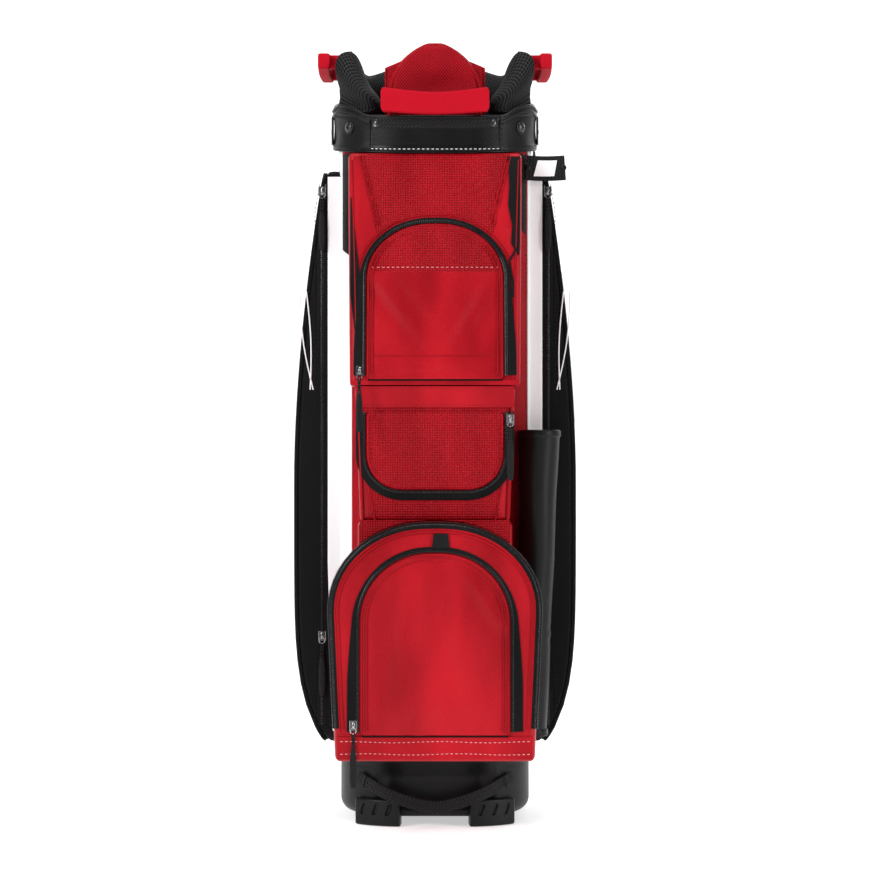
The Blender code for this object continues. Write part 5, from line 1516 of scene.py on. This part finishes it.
class BAG_OT_side_pockets(Maker, bpy.types.Operator):
    """Make the tall side pockets, each with a gusset, a zip up its front and a swinging panel"""

    bl_idname = "bag.side_pockets"
    bl_label = "Side pockets"

    def execute(self, context):
        for name, side in (("left", -1), ("right", 1)):
            piece(f"{name}_pocket_sewn", "root", turned(self.gusset(side), side), [f"{name}_pocket_body"])
            piece(f"{name}_panel_sewn", f"{name}_panel", turned(self.panel(side), side), [f"{name}_pocket_panel"])
        return {"FINISHED"}

    def gusset(self, side):
        """The pocket's walls, the zip up its front wall, a white band and two curved lines."""
        def back(x):
            past = np.maximum(np.abs(x * side + SIDE_Y - TUBE_Y) - TUBE_FLAT, 0)
            return TUBE_FLAT + np.sqrt(TUBE_CORNER**2 - past**2)

        waves = [(0.0, 0.3, 0.1, 0.05, 0.05, 0.03, sizes().fold_depth)]
        body = pouch(rows(**SIDE), grown(SIDE, -0.010), back, side_face, "black", edge=0.004,
                     bulge=lambda x, z: folds(x, z, waves))
        fore, normal = -side * SIDE_HALF, (-side, 0, 0)
        z = np.linspace(0.112, 0.742, 160)
        path = np.stack([0 * z + fore * 1.004, -np.minimum(side_face(z) - 0.0022, 0.132), z], -1)
        tape = ribbon(path, normal, rounded(0.0105, 0.0014, 0.3, 14), "tape")
        parts = [body, tape, teeth(path, normal, 0.0038, 0.0010)]
        for shift in (-0.0085, 0.0085):
            parts.append(stitches(path + [0, shift, 0], normal, "black_thread", 0.0006))
        z = np.linspace(0.104, 0.752, 120)
        wide = 0.0185 - 0.006 * np.clip((0.30 - z) / 0.2, 0, 1)
        band = np.stack([np.full(120, fore * 1.012), -0.1070 - wide / 2, z], -1)
        parts.append(ribbon(band, normal, rounded(1.0, 0.0014, 0.25, 16), "white", wide=wide))
        share = np.linspace(0, 1, 60)
        for start, stop, bow in ((0.158, 0.1425, 0.004), (0.1505, 0.1460, -0.003)):
            reach = lerp(start, stop, share) + bow * np.sin(share * np.pi)
            line = np.stack([np.full(60, fore * 1.016), -reach, 0.618 - 0.115 * share], -1)
            parts.append(pipe(line, 0.0008, "white", normal, count=CORD_SIDES))
        return parts

    def panel(self, side):
        """The swinging panel with its piping, stitches and two curved lines, and on the right side one white stripe."""
        depth, fore = sizes().fold_depth, -side * SIDE_HALF
        waves = [(0.02, 0.25, 1.5, 0.04, 0.12, 0.02, depth), (-0.02, 0.55, 1.6, 0.045, 0.12, 0.02, depth),
                 (0.0, 0.68, 0.2, 0.03, 0.05, 0.012, depth), (0.01, 0.14, 2.8, 0.03, 0.05, 0.012, depth)]

        def front(x, z):
            return side_face(z) + FLAP_THICK + 0.0012 * (1 - (x / 0.072) ** 2) + folds(x, z, waves)

        trim = [
            slab(grown(SIDE, -0.0015), lambda z: side_face(z) + GAP, front, "black", 0.003, 60),
            cord_on(closed_outline(*grown(SIDE, -0.0030)), side_face, 0.0032, 0.0014, "vinyl", True),
            stitches_on(closed_outline(*grown(SIDE, -0.0085)), side_face, 0.0042, "black_thread", True),
        ]
        curve = np.linspace(0, 1, 60)
        for shift in (0.0, 0.007):
            x, z = fore * (0.92 - 1.1 * curve**1.5), 0.615 + shift - 0.16 * curve
            path = np.stack([x, -front(x, z) - 0.0003, z], -1)
            trim.append(pipe(path, 0.0008, "white", (0, -1, 0), count=CORD_SIDES))
        if side > 0:
            stripe = [(fore * 0.955, 0.465), (fore * 0.80, 0.465)], [(fore * 0.955, 0.64), (fore * 0.80, 0.60)]
            trim.append(patch(stripe, lambda z: side_face(z) + 0.0030, "white", 0.0022))
        return trim


def sleeve_at(z):
    """Radius and centre of the umbrella sleeve at a height."""
    radius = lerp(0.019, 0.028, (z - 0.102) / 0.354)
    reach = TUBE_CORNER + radius - 0.001
    turn = math.radians(36)
    return radius, TUBE_FLAT + reach * math.cos(turn), TUBE_Y - TUBE_FLAT - reach * math.sin(turn)


class BAG_OT_small_parts(Maker, bpy.types.Operator):
    """Make the umbrella sleeve and strap, the towel ring and the small clips"""

    bl_idname = "bag.small_parts"
    bl_label = "Sleeve, strap and ring"

    def execute(self, context):
        turn = full_turn(72)
        circle = np.stack([np.cos(turn), np.sin(turn), 0 * turn], -1)
        rings = []
        for z in np.concatenate([[0.102, 0.1035], np.linspace(0.106, 0.452, 90), [0.4548, 0.456]]):
            radius, x, y = sleeve_at(z)
            wrinkle = 0.0008 * bell(z, 0.22, 0.012) * np.cos(3 * turn + 1) * np.cos((z - 0.22) * 400)
            soft = 0.0005 * np.sin(z * 47 + 2 * turn)
            reach = radius + wrinkle + soft - (0.0012 if z in (0.102, 0.456) else 0.0)
            wide = SLEEVE_SQUASH * reach
            rings.append(np.stack([x + wide * np.cos(turn), y + reach * np.sin(turn), 0 * turn + z], -1))
        for z in (0.4555, 0.40, 0.25, 0.1065):
            radius, x, y = sleeve_at(z)
            wide, deep = SLEEVE_SQUASH * radius - 0.0025, radius - 0.0025
            rings.append(np.stack([x + wide * np.cos(turn), y + deep * np.sin(turn), 0 * turn + z], -1))
        parts = [loft(np.array(rings), "vinyl")]
        for z, thick in ((0.4515, 0.0016), (0.1065, 0.0014)):
            radius, x, y = sleeve_at(z)
            path = np.stack([x + SLEEVE_SQUASH * radius * np.cos(turn), y + radius * np.sin(turn), 0 * turn + z], -1)
            parts.append(ribbon(path, circle, rounded(0.008, 2 * thick, 0.5, 12), "vinyl", True))
            parts.append(stitches(path + circle * thick - [0, 0, 0.002], circle, "black_thread", 0.0004, True))
        piece("umbrella_sleeve_sewn", "root", parts, ["umbrella_sleeve"])
        low, high = box("umbrella_strap")
        centre = (low + high) / 2
        x = np.linspace(low[0], high[0], 50)
        sag = -0.0010 * np.sin((x - low[0]) / (high[0] - low[0]) * np.pi)
        path = np.stack([x, centre[1] + 0 * x, centre[2] + sag], -1)
        parts = [ribbon(path, (0, -1, 0), rounded(high[2] - low[2], 0.0028, 0.35, 20), "webbing")]
        label = path[12:38] - [0, 0.0014, 0]
        tag = ribbon(label, (0, -1, 0), rounded(0.0185, 0.0010, 0.25, 16), "white")
        tag.points[:, 0] += 0.22 * (tag.points[:, 2] - label[0, 2])
        parts.append(tag)
        for at in (2, 47):
            parts.append(disc(path[at] + np.array([0, -0.0008, 0]), (0, -1, 0), [0.0034, 0.0034, 0.0026, 0.001],
                              [0, 0.0014, 0.0022, 0.0024], "plastic", count=24))
        piece("umbrella_strap_webbing", "umbrella_strap", parts, ["umbrella_strap"])
        low, high = box("towel_ring")
        angle = full_turn(60)
        squash = np.maximum(np.sin(angle), -0.75)
        path = (low + high) / 2 + np.stack([0 * angle, 0.009 * np.cos(angle), 0.009 * squash], -1)
        piece("towel_ring_wire", "towel_ring", [pipe(path, 0.0015, "metal", (1, 0, 0), True, 12)], ["towel_ring"])
        x, y = around(8 - 1.55, 0.0015)
        loop = np.stack([np.full(16, x + 0.0015), np.full(16, y), np.linspace(0.7805, 0.7925, 16)], -1)
        piece("towel_ring_loop", "root", [ribbon(loop, (1, 0, 0), rounded(0.008, 0.0022, 0.5, 14), "webbing")])
        return {"FINISHED"}


ZIPS = {
    "upper_pocket": -9.44, "middle_pocket": 3.73, "ball_pocket": -2.16,
    "left_pocket_top": 0.0, "left_pocket_low": 0.0, "right_pocket_top": 0.0,
}


class BAG_OT_zips(Maker, bpy.types.Operator):
    """Make every zip's slider, and the cord and rubber grip that hang from it"""

    bl_idname = "bag.zips"
    bl_label = "Zip sliders and pulls"

    def execute(self, context):
        for name, lean in ZIPS.items():
            low, high = box(f"{name}_zip_slider")
            centre = (low + high) / 2
            angle = math.radians(lean)
            up = np.array([0, -math.sin(angle), math.cos(angle)])
            out = np.array([0, -math.cos(angle), -math.sin(angle)])
            run = np.linspace(-1, 1, 14)[:, None]
            path = centre + up * run * 0.0058 - out * 0.0008
            wide = 1 - 0.25 * np.abs(run[:, 0]) ** 3
            parts = [ribbon(path, out, rounded(0.0086, 0.0022, 0.5, 16), "metal", wide=wide)]
            arc = np.linspace(0, np.pi, 14)[:, None]
            bridge = centre + up * np.cos(arc) * 0.0042 + out * (0.0002 + 0.0016 * np.sin(arc))
            parts.append(ribbon(bridge, (1, 0, 0), rounded(0.0009, 0.0026, 0.6, 12), "bright"))
            for side in (-1, 1):
                rail = path + np.array([side * 0.0038, 0, 0]) + out * 0.0010
                parts.append(pipe(rail, 0.0006, "bright", out, count=CORD_SIDES))
            piece(f"{name}_slider_metal", f"{name}_slider", parts, [f"{name}_zip_slider"])
            low, high = box(f"{name}_zip_pull")
            tilt = angle if name == "upper_pocket" else 0.0
            hang = np.array([0, math.sin(tilt), -math.cos(tilt)])
            face = np.array([0, -math.cos(tilt), -math.sin(tilt)])
            start = np.array([(low[0] + high[0]) / 2, low[1] + 0.001, high[2] - 0.001])
            turn = full_turn(28)[:, None]
            ring = start + hang * 0.0040 + np.cos(turn) * np.array([0.0030, 0, 0]) + np.sin(turn) * hang * 0.0036
            parts = [pipe(ring, 0.00075, "bright", face, True, CORD_SIDES)]
            for side in (-1, 1):
                fall = np.linspace(0.0065, 0.026, 20)[:, None]
                spread = side * 0.0011 * (1 + 0.3 * np.sin(fall * 300))
                cord = start + hang * fall + np.array([1.0, 0, 0]) * spread
                parts.append(pipe(cord, 0.00105, "webbing", face, count=CORD_SIDES))
            fall = np.linspace(0.024, 0.0685, 60)
            share = (fall - 0.024) / 0.0445
            wide = 0.0052 + 0.0024 * ease(0, 1, share * 3) - 0.0020 * ease(0, 1, (share - 0.75) * 4)
            ends = np.sqrt(1 - np.clip(np.abs(share * 2 - 1) * 12 - 11, 0, 1) ** 2 * 0.98)
            ribs = 1 + 0.10 * np.cos(share * 2 * np.pi * 11) * ((share > 0.2) & (share < 0.85))
            grip = start + hang * fall[:, None]
            section = rounded(1.0, 0.0026, 0.6, 16)
            parts.append(ribbon(grip, face, section, "rubber", wide=wide * ends, deep=ends * ribs))
            piece(f"{name}_pull_grip", f"{name}_pull", parts, [f"{name}_zip_pull"])
        return {"FINISHED"}


class BAG_OT_shoulder_strap(Maker, bpy.types.Operator):
    """Make the shoulder strap, its puffed pad and the two moulded anchors on the back"""

    bl_idname = "bag.shoulder_strap"
    bl_label = "Shoulder strap"

    def execute(self, context):
        def middle(z):
            return 0.1545 + 0.011 * np.sin(np.pi * (0.740 - z) / 0.460)

        z = np.linspace(0.2805, 0.7395, 160)
        path = np.stack([0 * z, middle(z), z], -1)
        parts = [ribbon(path, (0, 1, 0), rounded(0.038, 0.0030, 0.35, 24), "webbing")]
        for side in (-1, 1):
            parts.append(stitches(path + [side * 0.0165, 0.0016, 0], (0, 1, 0), "black_thread"))
        for at in (0.318, 0.705):
            level = np.linspace(-0.021, 0.021, 20)
            buckle = np.stack([level, 0 * level + middle(at) + 0.0030, 0 * level + at], -1)
            parts.append(ribbon(buckle, (0, 1, 0), rounded(0.0080, 0.0032, 0.5, 14), "plastic"))
        piece("shoulder_strap_webbing", "shoulder_strap", parts, ["shoulder_strap"])
        share = np.linspace(0, 1, 90)
        z = 0.402 + 0.216 * share
        end = np.sqrt(1 - np.clip(np.abs(share * 2 - 1) * 9 - 8, 0, 1) ** 2 * 0.97)
        quilted = 1 - 0.13 * np.exp(-((np.mod(share * 6 + 0.5, 1) - 0.5) / 0.09) ** 2)
        profile = rounded(2.0, 2.0, 0.55, 40)
        x = 0.0275 * end[:, None] * (1 - 0.06 * np.cos(share * 2 * np.pi)[:, None]) * profile[None, :, 0]
        y = middle(z)[:, None] + 0.0068 + 0.0048 * (end * quilted)[:, None] * profile[None, :, 1]
        pad = loft(np.stack([x, y, z[:, None] + 0 * x], -1), "mesh")
        edge = np.concatenate([x[4:-4].max(1), -x[4:-4][::-1].max(1)])
        level = np.concatenate([z[4:-4], z[4:-4][::-1]])
        path = np.stack([edge, middle(level) + 0.0062, level], -1)
        parts = [pad, pipe(path, 0.0014, "vinyl", (0, 1, 0), True, CORD_SIDES)]
        piece("shoulder_pad_mesh", "shoulder_strap", parts, ["shoulder_pad"])
        for name in ("upper", "lower"):
            low, high = box(f"{name}_strap_anchor")
            y = np.linspace(low[1] + 0.0002, high[1] - 0.0002, 14)
            centre = (low + high) / 2
            swell = np.sqrt(1 - np.clip((y - high[1] + 0.003) / 0.003, 0, 1) ** 2 * 0.6)
            path = np.stack([0 * y + centre[0], y, 0 * y + centre[2]], -1)
            block = ribbon(path, (0, 0, 1), rounded(0.0238, 0.0118, 0.35, 28), "plastic", wide=swell, deep=swell)
            x = np.linspace(-0.008, 0.008, 14)
            pin = np.stack([x, 0 * x + centre[1] + 0.002, 0 * x + centre[2]], -1)
            parts = [block, pipe(pin, 0.0052, "metal", (0, 0, 1))]
            piece(f"{name}_anchor_moulding", "root", parts, [f"{name}_strap_anchor"])
        return {"FINISHED"}


# ---------------------------------------------------------------- add-on

STEPS = (
    BAG_OT_stage, BAG_OT_panels, BAG_OT_collar, BAG_OT_rim, BAG_OT_handles, BAG_OT_dividers, BAG_OT_base,
    BAG_OT_upper_pocket, BAG_OT_middle_pocket, BAG_OT_ball_pocket, BAG_OT_side_pockets, BAG_OT_small_parts,
    BAG_OT_zips, BAG_OT_shoulder_strap,
)


class BAG_PT_looks(bpy.types.Panel):
    """The bag's settings and the operators that make its pieces"""

    bl_idname = "BAG_PT_looks"
    bl_label = "Cart bag"
    bl_space_type = "VIEW_3D"
    bl_region_type = "UI"
    bl_category = "Cart bag"

    def draw(self, context):
        for settings in (colours(), sizes()):
            for key in settings.__annotations__:
                self.layout.prop(settings, key)
        for step in STEPS:
            self.layout.operator(step.bl_idname)


CLASSES = (BagColours, BagSizes, *STEPS, BAG_PT_looks)


def register():
    """Add the classes and the scene's settings."""
    for kind in CLASSES:
        bpy.utils.register_class(kind)
    bpy.types.Scene.bag_colours = bpy.props.PointerProperty(type=BagColours)
    bpy.types.Scene.bag_sizes = bpy.props.PointerProperty(type=BagSizes)


def unregister():
    """Remove the scene's settings and the classes."""
    del bpy.types.Scene.bag_colours
    del bpy.types.Scene.bag_sizes
    for kind in reversed(CLASSES):
        bpy.utils.unregister_class(kind)


def main():
    """Make every piece in order."""
    register()
    FINISHES.update(make_finishes())
    for step in STEPS:
        group, action = step.bl_idname.split(".")
        getattr(getattr(bpy.ops, group), action)()


if __name__ == "__main__":
    main()
